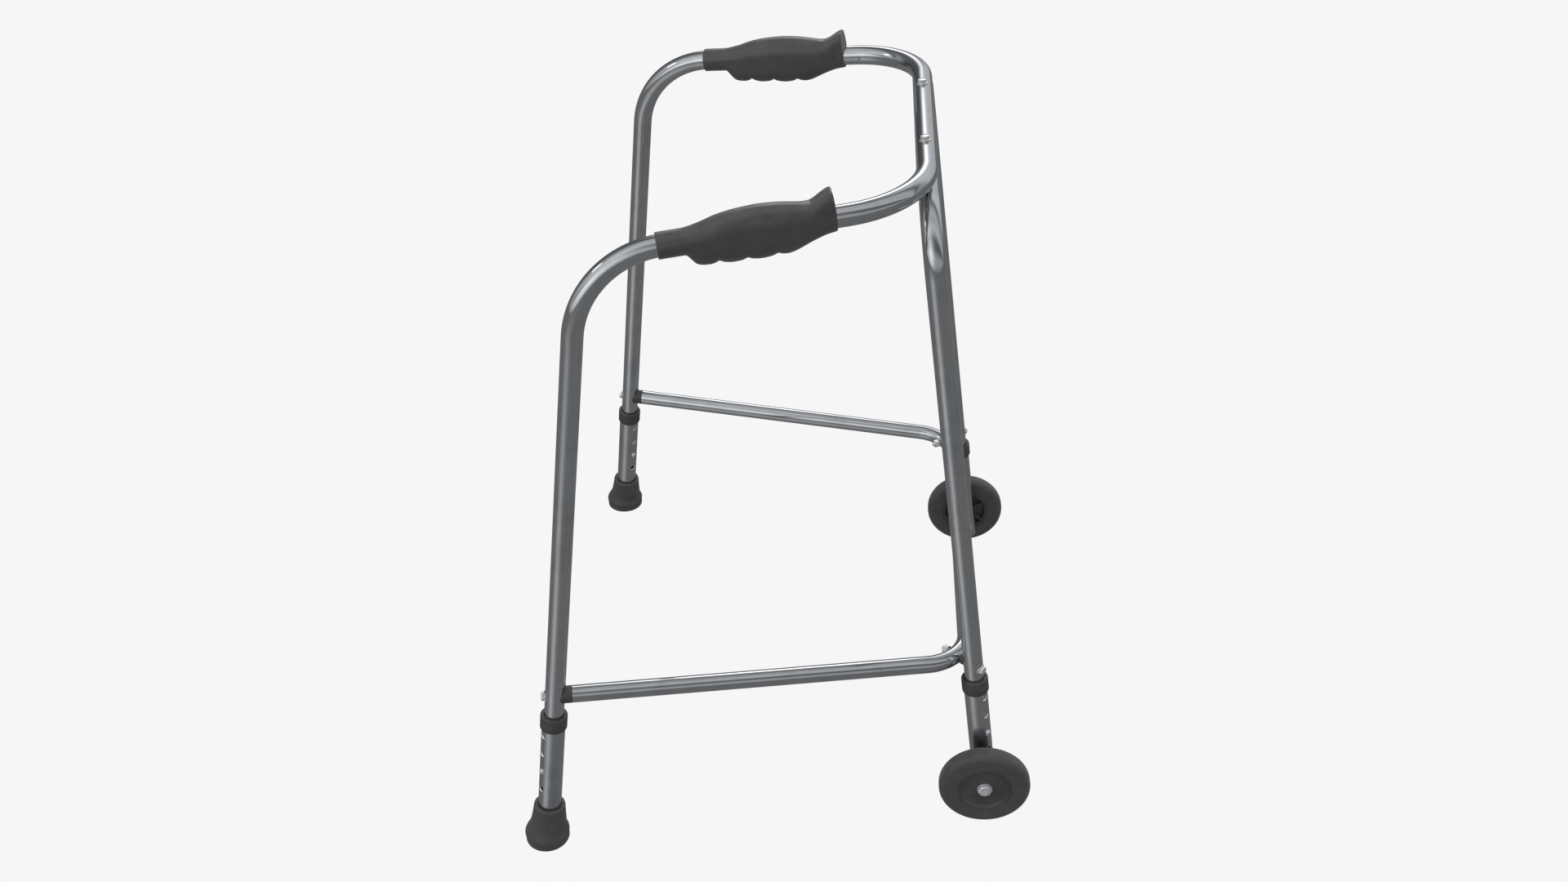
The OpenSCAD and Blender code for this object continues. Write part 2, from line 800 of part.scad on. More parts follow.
handle_frame();
front_leg_frame();
lower_brace();
grip(1);  // grip_left
grip(-1);  // grip_right
extension_rear(1);  // extension_rear_left
extension_rear(-1);  // extension_rear_right
extension_front(1);  // extension_front_left
extension_front(-1);  // extension_front_right
collar_rear(1);  // collar_rear_left
collar_rear(-1);  // collar_rear_right
collar_front(1);  // collar_front_left
collar_front(-1);  // collar_front_right
foot(1);  // foot_left
foot(-1);  // foot_right
tyre(1);  // tyre_left
tyre(-1);  // tyre_right
hub(1);  // hub_left
hub(-1);  // hub_right
bush(1);  // bush_left
bush(-1);  // bush_right
axle_bolt(1);  // axle_bolt_left
axle_bolt(-1);  // axle_bolt_right
axle_washer(1);  // axle_washer_left
axle_washer(-1);  // axle_washer_right
axle_spacer(1);  // axle_spacer_left
axle_spacer(-1);  // axle_spacer_right
axle_nut(1);  // axle_nut_left
axle_nut(-1);  // axle_nut_right
end_plug(1);  // end_plug_left
end_plug(-1);  // end_plug_right
snap_spring_rear(1);  // snap_spring_rear_left
snap_spring_rear(-1);  // snap_spring_rear_right
snap_spring_front(1);  // snap_spring_front_left
snap_spring_front(-1);  // snap_spring_front_right
snap_buttons_rear(1);  // snap_buttons_rear_left
snap_buttons_rear(-1);  // snap_buttons_rear_right
snap_buttons_front(1);  // snap_buttons_front_left
snap_buttons_front(-1);  // snap_buttons_front_right
brace_caps();
brace_inserts();
brace_rear_bolts();
brace_rear_washers();
brace_front_bolts();
brace_front_washers();
brace_front_nuts();
brace_spacers();
top_bolts();
top_washers();
top_nuts();
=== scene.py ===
import math

import bpy
from mathutils import Matrix, Vector


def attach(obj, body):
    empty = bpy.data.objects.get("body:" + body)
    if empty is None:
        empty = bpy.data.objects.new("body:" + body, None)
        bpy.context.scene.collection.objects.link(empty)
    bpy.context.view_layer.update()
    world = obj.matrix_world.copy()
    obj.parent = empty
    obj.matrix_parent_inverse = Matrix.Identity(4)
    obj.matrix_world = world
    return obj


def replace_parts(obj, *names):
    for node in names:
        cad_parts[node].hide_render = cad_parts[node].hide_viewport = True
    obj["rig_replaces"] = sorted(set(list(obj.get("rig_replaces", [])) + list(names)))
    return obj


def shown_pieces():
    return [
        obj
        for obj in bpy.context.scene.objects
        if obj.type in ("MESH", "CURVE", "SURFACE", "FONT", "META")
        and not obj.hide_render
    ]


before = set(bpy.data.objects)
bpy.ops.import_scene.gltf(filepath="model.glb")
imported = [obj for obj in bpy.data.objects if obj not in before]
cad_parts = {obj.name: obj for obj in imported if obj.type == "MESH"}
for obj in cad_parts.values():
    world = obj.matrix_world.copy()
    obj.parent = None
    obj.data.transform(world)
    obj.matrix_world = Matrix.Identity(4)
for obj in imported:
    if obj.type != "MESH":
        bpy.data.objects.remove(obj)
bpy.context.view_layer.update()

MM = 0.001

# ---------------------------------------------------------------------------
# Sizes in mm, the same ones as the CAD source. X starts at the rear feet here.
# ---------------------------------------------------------------------------
TUBE_R, TUBE_BORE = 12.5, 10.5
BRACE_R, BRACE_BORE = 11.0, 9.4
EXT_R, EXT_BORE = 15.0, 13.1
REAR_FLOOR = Vector((0, 371.5, 0))
REAR_CORNER = Vector((85.5, 293, 815))
FRONT_CORNER = Vector((461, 226, 860))
REAR_BEND_R, FRONT_BEND_R = 116, 106
RAKE = math.radians(8)
LEG_HALF_FLOOR, LEG_HALF_TOP, LEG_BEND_R = 280, 229, 70
BAR_GAP = 2 * TUBE_R + 0.4
BRACE_Z, BRACE_X, BRACE_HALF, BRACE_BEND_R, BRACE_CAP = 232, 542, 259, 62, 9
HOLE_PITCH, HOLE_D = 29, 7
REAR_BUTTON, FRONT_BUTTON = 118, 130.5
REAR_AZIMUTH, FRONT_AZIMUTH = 135, 45
BUTTON_TO_TUBE_END = 20
REAR_COLLAR, FRONT_COLLAR = 205, 216
COLLAR_H, COLLAR_R, COLLAR_LIP = 21, 17.25, 4
FOOT_R, FOOT_H, FOOT_FLOOR = 29, 57, 9
FRONT_EXT_END = 32
WHEEL_R, TYRE_W, WHEEL_IN = 60, 25, 293.8
HUB_RIBS, HUB_RIB_T = 6, 3.0
AXLE_D = 10
GRIP_START, GRIP_LEN = 87, 195
BOLT_D, BOLT_AF, HEAD_H = 6, 10, 3
TOP_BOLT_Y = 87.5
WASHER_D, WASHER_T = 14, 1.2
HEAD_SEAT = TUBE_R + WASHER_T + 0.3

FLIP_Y = Vector((1, -1, 1))
FRONT_BAR_Z = FRONT_CORNER.z
FRONT_FOOT_X = FRONT_CORNER.x + FRONT_BAR_Z * math.tan(RAKE)
FRONT_FLOOR = Vector((FRONT_FOOT_X, LEG_HALF_FLOOR, 0))
DOWN = Vector((math.sin(RAKE), 0, -math.cos(RAKE)))
LEG_BAR = Vector((FRONT_CORNER.x, 0, FRONT_BAR_Z)) + BAR_GAP * DOWN
LEG_CORNER = Vector((LEG_BAR.x, LEG_HALF_TOP, LEG_BAR.z))
REAR_UP = (REAR_CORNER - REAR_FLOOR).normalized()
FRONT_UP = (LEG_CORNER - FRONT_FLOOR).normalized()
AXLE = Vector((FRONT_FOOT_X - WHEEL_R * math.tan(RAKE), 0, WHEEL_R))
PLAN_MID = (AXLE.x + WHEEL_R - FOOT_R) / 2
REAR_JOINT = REAR_FLOOR.lerp(REAR_CORNER, BRACE_Z / REAR_CORNER.z)
BRACE_CORNER = Vector((BRACE_X, BRACE_HALF, BRACE_Z))
BRACE_DIR = (BRACE_CORNER - REAR_JOINT).normalized()
HANDLE_DIR = (FRONT_CORNER - REAR_CORNER).normalized()
SPLAY = math.atan2(REAR_JOINT.y - BRACE_HALF, BRACE_X - REAR_JOINT.x)
BRACE_MID_Y = BRACE_HALF - BRACE_BEND_R * math.tan((math.pi / 2 - SPLAY) / 2)
BEND_CENTRE = Vector((BRACE_X - BRACE_BEND_R, BRACE_MID_Y, BRACE_Z))
FRONT_JOINT = FRONT_FLOOR.lerp(LEG_CORNER, BRACE_Z / LEG_CORNER.z)
BOLT_DIR = (FRONT_JOINT - BEND_CENTRE).normalized()
JOINT_R = (FRONT_JOINT - BEND_CENTRE).length

# Mesh resolution: sides round each kind of piece, steps in a bend, longest straight step in mm
WHEEL_SIDES, SLEEVE_SIDES, RING_SIDES, PLUG_SIDES = 144, 96, 72, 64
TUBE_SIDES, SPACER_SIDES, DRILL_SIDES, SHANK_SIDES = 56, 48, 40, 24
BEND_STEPS, LONGEST_STEP = 36, 30
# A small turn that keeps a cutter's corners off a tube's corners, where a boolean goes wrong
OFF_SEAM = math.radians(1.3)


# ---------------------------------------------------------------------------
# Mesh building. A part is (points, faces, grain): grain is each point's place
# along and around the piece, which the materials use for streaks and wear.
# ---------------------------------------------------------------------------
def axes(origin, up, toward):
    """Matrix with Z along up and X as near to toward as it can be."""
    z = Vector(up).normalized()
    x = Vector(toward) - z * z.dot(Vector(toward))
    x.normalize()
    y = z.cross(x)
    return Matrix.Translation(origin) @ Matrix((x, y, z)).transposed().to_4x4()


def around(n):
    """Angles of n even steps round a circle."""
    return [2 * math.pi * k / n for k in range(n)]


def join(*parts):
    points, faces, grain = [], [], []
    for p, f, g in parts:
        base = len(points)
        points += p
        faces += [tuple(i + base for i in face) for face in f]
        grain += g
    return points, faces, grain


def mirrored(part):
    points, faces, grain = part
    return [p * FLIP_Y for p in points], [tuple(reversed(f)) for f in faces], grain


def loft(rings, grains, closed=False, caps=False):
    """Skin over rings of equal length. closed joins the last ring to the first."""
    n = len(rings[0])
    points = [p for ring in rings for p in ring]
    grain = [g for ring in grains for g in ring]
    faces = []
    last = len(rings) if closed else len(rings) - 1
    for k in range(last):
        a, b = k * n, ((k + 1) % len(rings)) * n
        faces += [(a + i, a + (i + 1) % n, b + (i + 1) % n, b + i) for i in range(n)]
    if caps:
        faces.append(tuple(reversed(range(n))))
        faces.append(tuple(range((len(rings) - 1) * n, len(rings) * n)))
    return points, faces, grain


def turned(rows, matrix, closed=False):
    """Skin about Z over rows of (radius, height) pairs, one for each even step round. Open ends get caps."""
    rings, grains = [], []
    for row in rows:
        spots = [(r * math.cos(a), r * math.sin(a), z) for a, (r, z) in zip(around(len(row)), row)]
        rings.append([matrix @ Vector(spot) for spot in spots])
        grains.append([Vector((z, x, y)) for x, y, z in spots])
    return loft(rings, grains, closed=closed, caps=not closed)


def lathe(profile, n, matrix):
    """Solid turned about Z from (radius, height) pairs, from the bottom up the outside.
    A profile that starts and ends off the axis is a closed ring."""
    ring = profile[0][0] > 0 and profile[-1][0] > 0
    return turned([[(r, z)] * n for r, z in profile if r > 0], matrix, closed=ring)


def fillet(points, radii):
    """Polyline with rounded corners."""
    path = [points[0]]
    for a, b, c, radius in zip(points, points[1:], points[2:], radii):
        u, v = (a - b).normalized(), (c - b).normalized()
        half = u.angle(v) / 2
        start = b + u * (radius / math.tan(half))
        centre = b + (u + v).normalized() * (radius / math.sin(half))
        x = (start - centre) / radius
        y = (-u - x * x.dot(-u)).normalized()
        turn = math.pi - 2 * half
        for k in range(BEND_STEPS + 1):
            angle = turn * k / BEND_STEPS
            path.append(centre + radius * (math.cos(angle) * x + math.sin(angle) * y))
    path.append(points[-1])
    return path


def subdivided(path):
    """Adds points so that no step is longer than LONGEST_STEP."""
    dense = [path[0]]
    for a, b in zip(path, path[1:]):
        count = max(1, math.ceil((b - a).length / LONGEST_STEP))
        dense += [a.lerp(b, k / count) for k in range(1, count + 1)]
    return dense


def tangents_of(path):
    last = len(path) - 1
    return [(path[min(i + 1, last)] - path[max(i - 1, 0)]).normalized() for i in range(len(path))]


def pipe(path, outer, inner):
    """Open-ended tube of one wall along a path, with its outer end edges broken."""
    path = subdivided(path)
    tangents = tangents_of(path)
    side = tangents[0].orthogonal().normalized()
    along, frames = 0.0, []
    for i, (p, t) in enumerate(zip(path, tangents)):
        if i:
            side = tangents[i - 1].rotation_difference(t) @ side
            side = (side - t * t.dot(side)).normalized()
            along += (p - path[i - 1]).length
        frames.append((p, side.copy(), t.cross(side), along))
    lip = 0.5
    end = len(frames) - 1
    stops = [(0, inner, 0), (0, outer - lip, 0), (0, outer, lip)]
    stops += [(i, outer, 0) for i in range(1, end)]
    stops += [(end, outer, -lip), (end, outer - lip, 0)]
    stops += [(i, inner, 0) for i in range(end, 0, -1)]
    rings, grains = [], []
    for i, radius, shift in stops:
        p, x, y, s = frames[i]
        p = p + tangents[i] * shift
        offsets = [(radius * math.cos(a), radius * math.sin(a)) for a in around(TUBE_SIDES)]
        rings.append([p + x * u + y * v for u, v in offsets])
        grains.append([Vector((s + shift, u, v)) for u, v in offsets])
    return loft(rings, grains, closed=True)


def solid_rod(path, radius):
    rings = []
    for p, t in zip(path, tangents_of(path)):
        place = axes(p, t, (0, 0, 1))
        rings.append([place @ Vector((radius * math.cos(a), radius * math.sin(a), 0))
                      for a in around(RING_SIDES)])
    return loft(rings, rings, caps=True)


def hexagon(flat, n):
    """Distance from the centre to a hexagon's side, at n even steps round."""
    return [flat / math.cos((a + math.pi / 6) % (math.pi / 3) - math.pi / 6) for a in around(n)]


def hex_head(height, matrix, nut=False):
    """Bolt head or nut with the crown chamfer of the real one. Z runs from the seat to the crown."""
    crown = BOLT_AF / 2 * 0.94
    slope = math.tan(math.radians(28))
    reach = hexagon(BOLT_AF / 2, SLEEVE_SIDES)

    def even(r, z):
        return [(r, z)] * SLEEVE_SIDES

    top = [(r, height - (r - crown) * slope) for r in reach]
    if not nut:
        return turned([[(r, 0.0) for r in reach], top, even(crown, height)], matrix)
    bore, lead = BOLT_D / 2 + 0.02, 0.5
    rows = [even(crown, 0.0), [(r, (r - crown) * slope) for r in reach], top, even(crown, height),
            even(bore + lead, height), even(bore, height - lead), even(bore, lead), even(bore + lead, 0.0)]
    return turned(rows, matrix, closed=True)


def bolt_shank(length, matrix):
    """Plain rod with shallow thread rings over its last part at +Z."""
    r, depth, pitch, tip = BOLT_D / 2, 0.35, 1.0, 0.8
    z = max(4.0, length - 22)
    profile = [(0, 0), (r, 0), (r, z)]
    while z < length - 1.2:
        profile += [(r - depth, z + pitch / 2), (r, z + pitch)]
        z += pitch
    profile += [(r, length - tip), (r - tip, length), (0, length)]
    return lathe(profile, SHANK_SIDES, matrix)


def hex_bolt(outward, seat, length):
    """Hex bolt seated at a distance along outward's Z, its shank running back inward."""
    head = outward @ Matrix.Translation((0, 0, seat))
    inward = head @ Matrix.Rotation(math.pi, 4, "X")
    return join(hex_head(HEAD_H, head), bolt_shank(length, inward))


def curved_washer(bolt, tube_up):
    """Round washer that wraps a main tube, with a flat seat in the middle. It looks along the bolt's Z."""
    out = bolt.to_3x3() @ Vector((0, 0, 1))
    place = axes(bolt.to_translation(), out, Vector(tube_up).cross(out))
    bore, rim, edge = BOLT_D / 2 + 0.25, WASHER_D / 2, 0.3
    seat_r, blend = 5.0, 1.2

    def height(x, r, top):
        if not top:
            return math.sqrt(TUBE_R ** 2 - x * x) + 0.03
        curved = math.sqrt((TUBE_R + WASHER_T) ** 2 - x * x)
        t = min(1, max(0, (r - seat_r) / blend))
        return (HEAD_SEAT - 0.05) * (1 - t) + curved * t

    rows = [(bore, False, 0), (rim - edge, False, 0), (rim, False, edge), (rim, True, -edge),
            (rim - edge, True, 0), (6.3, True, 0), (5.6, True, 0), (4.9, True, 0), (bore, True, 0)]
    rings, grains = [], []
    for r, top, lift in rows:
        flat = [(r * math.cos(a), r * math.sin(a)) for a in around(PLUG_SIDES)]
        spots = [(x, y, height(x, r, top) + lift) for x, y in flat]
        rings.append([place @ Vector(spot) for spot in spots])
        grains.append([Vector((z, x, y)) for x, y, z in spots])
    return loft(rings, grains, closed=True)


# ---------------------------------------------------------------------------
# Objects
# ---------------------------------------------------------------------------
def make_object(name, part):
    points, faces, grain = part
    mesh = bpy.data.meshes.new(name)
    mesh.from_pydata([((p.x - PLAN_MID) * MM, p.y * MM, p.z * MM) for p in points], [], faces)
    layer = mesh.attributes.new("grain", "FLOAT_VECTOR", "POINT")
    layer.data.foreach_set("vector", [c * MM for g in grain for c in g])
    mesh.validate()
    obj = bpy.data.objects.new(name, mesh)
    bpy.context.scene.collection.objects.link(obj)
    return obj


def shade(mesh, angle):
    """Smooth shading with edges sharper than angle kept crisp."""
    mesh.polygons.foreach_set("use_smooth", [True] * len(mesh.polygons))
    mesh.update()
    normals = {}
    limit = math.cos(math.radians(angle))
    sharp = [False] * len(mesh.edges)
    lookup = {tuple(sorted(e.vertices)): e.index for e in mesh.edges}
    for poly in mesh.polygons:
        for key in poly.edge_keys:
            edge = lookup[tuple(sorted(key))]
            if edge in normals:
                sharp[edge] = normals[edge].dot(poly.normal) < limit
            else:
                normals[edge] = poly.normal.copy()
    layer = mesh.attributes.get("sharp_edge") or mesh.attributes.new("sharp_edge", "BOOLEAN", "EDGE")
    layer.data.foreach_set("value", sharp)


def carve(matrix, part, *cutters):
    """Part minus the cutters, by exact boolean, with its grain read along and across the matrix's Z."""
    body = make_object("carve_body", part)
    knives = []
    for k, cutter in enumerate(cutters):
        knife = make_object("carve_knife_%d" % k, cutter)
        knives.append(knife)
        modifier = body.modifiers.new("cut_%d" % k, "BOOLEAN")
        modifier.operation = "DIFFERENCE"
        modifier.solver = "EXACT"
        modifier.object = knife
    bpy.context.view_layer.update()
    graph = bpy.context.evaluated_depsgraph_get()
    mesh = bpy.data.meshes.new_from_object(body.evaluated_get(graph))
    points = [Vector((v.co.x / MM + PLAN_MID, v.co.y / MM, v.co.z / MM)) for v in mesh.vertices]
    faces = [tuple(p.vertices) for p in mesh.polygons]
    for obj in [body, *knives]:
        data = obj.data
        bpy.data.objects.remove(obj)
        bpy.data.meshes.remove(data)
    bpy.data.meshes.remove(mesh)
    inverse = matrix.inverted()
    local = [inverse @ p for p in points]
    return points, faces, [Vector((q.z, q.x, q.y)) for q in local]


def add(name, part, body, slot, material, *stands_for, angle=32):
    obj = make_object(name, part)
    shade(obj.data, angle)
    obj.data.materials.append(material)
    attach(obj, body)
    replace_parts(obj, *stands_for)
    return obj


def add_sides(name, part, body, slot, material, node, angle=32):
    """The left piece as built and the right one mirrored. %s in body and node is the side."""
    made = []
    for side, shape in (("left", part), ("right", mirrored(part))):
        target = body % side if "%s" in body else body
        made.append(add("%s_%s" % (name, side), shape, target, slot, material, node % side, angle=angle))
    return made


# ---------------------------------------------------------------------------
# Materials
# ---------------------------------------------------------------------------
class Shader:
    """Small helper that adds nodes to a material's or a world's tree and links them."""

    def __init__(self, owner):
        owner.use_nodes = True
        self.owner = owner
        self.tree = owner.node_tree
        self.tree.nodes.clear()

    def node(self, kind, inputs=None, **settings):
        made = self.tree.nodes.new(kind)
        for key, value in settings.items():
            setattr(made, key, value)
        for key, value in (inputs or {}).items():
            self.put(made.inputs[key], value)
        return made

    def put(self, socket, value):
        if isinstance(value, bpy.types.NodeSocket):
            self.tree.links.new(value, socket)
        else:
            socket.default_value = value

    def math(self, operation, a, b=0.0):
        return self.node("ShaderNodeMath", {0: a, 1: b}, operation=operation).outputs[0]

    def mix(self, factor, a, b):
        made = self.node("ShaderNodeMix", {"Factor": factor}, data_type="RGBA")
        self.put(made.inputs[6], a)
        self.put(made.inputs[7], b)
        return made.outputs[2]

    def layer(self, base, mask, share, colour):
        """Base with a colour laid over it where the mask is, at a share of its strength."""
        return self.mix(self.math("MULTIPLY", mask, share), base, colour)

    def raised(self, value, *masks):
        """Value plus each mask times its share."""
        for mask, share in masks:
            value = self.math("ADD", value, self.math("MULTIPLY", mask, share))
        return value

    def noise(self, vector, scale, detail=3.0, roughness=0.55, distortion=0.0):
        made = self.node("ShaderNodeTexNoise", {"Vector": vector, "Scale": scale, "Detail": detail,
                                                "Roughness": roughness, "Distortion": distortion})
        return made.outputs["Fac"]

    def spread(self, value, low, high, to_low=0.0, to_high=1.0):
        """Smooth step of a value between two limits."""
        made = self.node("ShaderNodeMapRange", {"Value": value, "From Min": low, "From Max": high,
                                                "To Min": to_low, "To Max": to_high})
        made.interpolation_type = "SMOOTHSTEP"
        return made.outputs["Result"]

    def stretch(self, vector, scale):
        return self.node("ShaderNodeMapping", {"Vector": vector, "Scale": scale}).outputs["Vector"]

    def bumps(self, *layers):
        """Normal with each (height, strength, distance) laid over the one before."""
        normal = None
        for height, strength, distance in layers:
            inputs = {"Height": height, "Strength": strength, "Distance": distance}
            if normal is not None:
                inputs["Normal"] = normal
            normal = self.node("ShaderNodeBump", inputs).outputs["Normal"]
        return normal

    def edges(self, radius):
        """1 on edges, 0 on open faces."""
        bevel = self.node("ShaderNodeBevel", {"Radius": radius}, samples=4)
        shape = self.node("ShaderNodeNewGeometry")
        dot = self.node("ShaderNodeVectorMath", {0: bevel.outputs["Normal"], 1: shape.outputs["Normal"]},
                        operation="DOT_PRODUCT")
        return self.spread(self.math("SUBTRACT", 1.0, dot.outputs["Value"]), 0.02, 0.25)

    def glow(self, where, direction, sharpness, strength):
        """Soft spot of light around a direction."""
        d = Vector(direction).normalized()
        dot = self.node("ShaderNodeVectorMath", {0: where, 1: d}, operation="DOT_PRODUCT").outputs["Value"]
        power = self.math("EXPONENT", self.math("MULTIPLY", self.math("SUBTRACT", dot, 1.0), sharpness))
        return self.math("MULTIPLY", power, strength)

    def place(self, from_grain):
        """Coordinates in metres: a new piece's grain, or a CAD node's own."""
        if from_grain:
            return self.node("ShaderNodeAttribute", attribute_name="grain").outputs["Vector"]
        return self.node("ShaderNodeTexCoord").outputs["Object"]

    def surface(self, colour, roughness, metallic, normal, extra=None):
        inputs = {"Base Color": colour, "Roughness": roughness, "Metallic": metallic, "Normal": normal}
        inputs.update(extra or {})
        self.output("ShaderNodeOutputMaterial", self.node("ShaderNodeBsdfPrincipled", inputs))
        return self.owner

    def output(self, kind, shader):
        self.tree.links.new(shader.outputs[0], self.node(kind).inputs[0])


def grey(value, blue=0.0):
    return (value, value * (1 + blue * 0.4), value * (1 + blue), 1.0)


def steel_material(name, tone, rough, streaks=1.0, from_grain=True):
    """Drawn and plated tube: lengthwise streaks, faint cross scratches, dull patches and pits."""
    s = Shader(bpy.data.materials.new(name))
    where = s.place(from_grain)
    lengthwise = s.noise(s.stretch(where, (14.0, 620.0, 620.0)), 1.0, 4.0, 0.6)
    fine = s.noise(s.stretch(where, (60.0, 2600.0, 2600.0)), 1.0, 2.0, 0.5)
    scratches = s.noise(s.stretch(where, (2400.0, 90.0, 90.0)), 1.0, 3.0, 0.65, 0.6)
    patch = s.spread(s.noise(where, 26.0, 5.0, 0.62, 0.5), 0.46, 0.70)
    pit = s.spread(s.noise(where, 950.0, 2.0, 0.6), 0.66, 0.80)
    streak = s.spread(lengthwise, 0.35, 0.75)
    scratch = s.spread(scratches, 0.66, 0.80)
    colour = s.layer(grey(tone, 0.035), patch, 0.45, grey(tone * 0.72, 0.05))
    colour = s.layer(colour, streak, 0.30 * streaks, grey(tone * 1.22, 0.02))
    colour = s.layer(colour, pit, 0.12, grey(tone * 0.6))
    colour = s.layer(colour, scratch, 0.22 * streaks, grey(tone * 0.72))
    colour = s.layer(colour, s.edges(0.0008), 0.6, grey(min(1.0, tone * 1.6)))
    roughness = s.raised(rough, (patch, 0.012 * streaks), (streak, 0.02 * streaks), (scratch, 0.03 * streaks))
    normal = s.bumps((fine, 0.05 * streaks, 0.00004), (lengthwise, 0.06 * streaks, 0.00006),
                     (scratches, 0.04 * streaks, 0.00004))
    return s.surface(colour, roughness, 1.0, normal)


def plastic_material(name, tone, rough, texture=1.0, sheen=0.0, spec=0.5, from_grain=True):
    """Moulded plastic or rubber: fine skin texture, mottled sheen, patches of dust, paler worn edges."""
    s = Shader(bpy.data.materials.new(name))
    where = s.place(from_grain)
    cells = s.node("ShaderNodeTexVoronoi", {"Vector": where, "Scale": 1500.0, "Randomness": 1.0})
    grain = s.noise(where, 2200.0, 2.0, 0.6)
    mottle = s.noise(where, 55.0, 4.0, 0.6, 0.3)
    dust = s.spread(s.noise(where, 18.0, 5.0, 0.65, 0.8), 0.52, 0.78)
    scuff = s.spread(s.noise(s.stretch(where, (60.0, 700.0, 260.0)), 1.0, 3.0, 0.6, 0.4), 0.66, 0.80)
    worn = s.math("MULTIPLY", s.edges(0.0009), s.spread(s.noise(where, 240.0, 3.0), 0.30, 0.65))
    colour = s.mix(s.spread(mottle, 0.35, 0.70), grey(tone * 0.90), grey(tone * 1.12))
    colour = s.layer(colour, dust, 0.16, grey(tone * 2.3, -0.05))
    colour = s.layer(colour, scuff, 0.22, grey(tone * 2.0))
    colour = s.layer(colour, worn, 0.55, grey(tone * 3.0))
    roughness = s.math("ADD", rough, s.spread(mottle, 0.30, 0.75, -0.04, 0.05))
    roughness = s.raised(roughness, (scuff, 0.08))
    normal = s.bumps((cells.outputs["Distance"], 0.10 * texture, 0.00010),
                     (grain, 0.10 * texture, 0.00006))
    return s.surface(colour, roughness, 0.0, normal, {"Specular IOR Level": spec, "Sheen Weight": sheen})


def zinc_material(name, tone=0.90, rough=0.26, from_grain=True):
    """Bright zinc plate: crystalline mottle, fine machining marks and paler edges."""
    s = Shader(bpy.data.materials.new(name))
    where = s.place(from_grain)
    crystals = s.node("ShaderNodeTexVoronoi", {"Vector": where, "Scale": 700.0})
    flat = s.node("ShaderNodeRGBToBW", {"Color": crystals.outputs["Color"]}).outputs[0]
    cloud = s.noise(where, 160.0, 4.0)
    lines = s.noise(s.stretch(where, (3800.0, 300.0, 300.0)), 1.0, 2.0)
    colour = s.mix(s.spread(cloud, 0.35, 0.70), grey(tone, 0.015), grey(tone * 0.84, 0.03))
    colour = s.layer(colour, flat, 0.10, grey(tone * 0.6))
    colour = s.layer(colour, s.edges(0.0004), 0.4, grey(0.93))
    roughness = s.math("ADD", rough, s.spread(cloud, 0.30, 0.75, -0.05, 0.12))
    return s.surface(colour, roughness, 0.78, s.bumps((lines, 0.12, 0.00005), (cloud, 0.08, 0.00010)))


steel = steel_material("frame_steel", 0.60, 0.075)
ext_steel = steel_material("extension_steel", 0.56, 0.15)
cut_steel = zinc_material("cut_steel", tone=0.98, rough=0.22)
grip_plastic = plastic_material("grip_rubber", 0.049, 0.32, texture=0.35, sheen=0.20, spec=0.60)
dark_plastic = plastic_material("dark_plastic", 0.048, 0.42, texture=0.5)
foot_rubber = plastic_material("foot_rubber", 0.052, 0.50, texture=0.8, sheen=0.05)
tyre_rubber = plastic_material("tyre_rubber", 0.048, 0.46, texture=0.7, sheen=0.15)
hub_plastic = plastic_material("hub_plastic", 0.050, 0.42, texture=0.5)
zinc = zinc_material("zinc_plate")
cad_zinc = zinc_material("zinc_plate_cad", from_grain=False)
cad_spring = steel_material("spring_steel", 0.45, 0.25, streaks=0.8, from_grain=False)
cad_bush = plastic_material("bush_plastic", 0.55, 0.45, from_grain=False)


# ---------------------------------------------------------------------------
# Tubes
# ---------------------------------------------------------------------------
def both_sides(left_points):
    """Path from the left end across the centre plane to the right end."""
    return left_points + [p * FLIP_Y for p in reversed(left_points)]


rear_end = REAR_FLOOR + REAR_UP * (REAR_BUTTON - BUTTON_TO_TUBE_END)
front_end = FRONT_FLOOR + FRONT_UP * (FRONT_BUTTON - BUTTON_TO_TUBE_END)
brace_end = REAR_JOINT + BRACE_DIR * (TUBE_R + BRACE_CAP)
handle_path = fillet(both_sides([rear_end, REAR_CORNER, FRONT_CORNER]),
                     [REAR_BEND_R, FRONT_BEND_R, FRONT_BEND_R, REAR_BEND_R])
leg_path = fillet(both_sides([front_end, LEG_CORNER]), [LEG_BEND_R] * 2)
brace_path = fillet(both_sides([brace_end, BRACE_CORNER]), [BRACE_BEND_R] * 2)
add("handle_tube", pipe(handle_path, TUBE_R, TUBE_BORE), "frame", "frame_steel", steel, "handle_frame")
add("front_leg_tube", pipe(leg_path, TUBE_R, TUBE_BORE), "frame", "frame_steel", steel, "front_leg_frame")
add("brace_tube", pipe(brace_path, BRACE_R, BRACE_BORE), "frame", "frame_steel", steel, "lower_brace")


# ---------------------------------------------------------------------------
# Leg extensions, collars and snap buttons. A leg's matrix has Z up the leg and X forward.
# ---------------------------------------------------------------------------
def leg_cross(leg, s, azimuth):
    """Matrix at length s up a leg, with Z out of the tube at an azimuth."""
    turn = leg.to_3x3()
    out = Matrix.Rotation(math.radians(azimuth), 3, "Z") @ Vector((1, 0, 0))
    return axes(leg @ Vector((0, 0, s)), turn @ out, turn @ Vector((0, 0, 1)))


def off_seam(matrix):
    return matrix @ Matrix.Rotation(OFF_SEAM, 4, "Z")


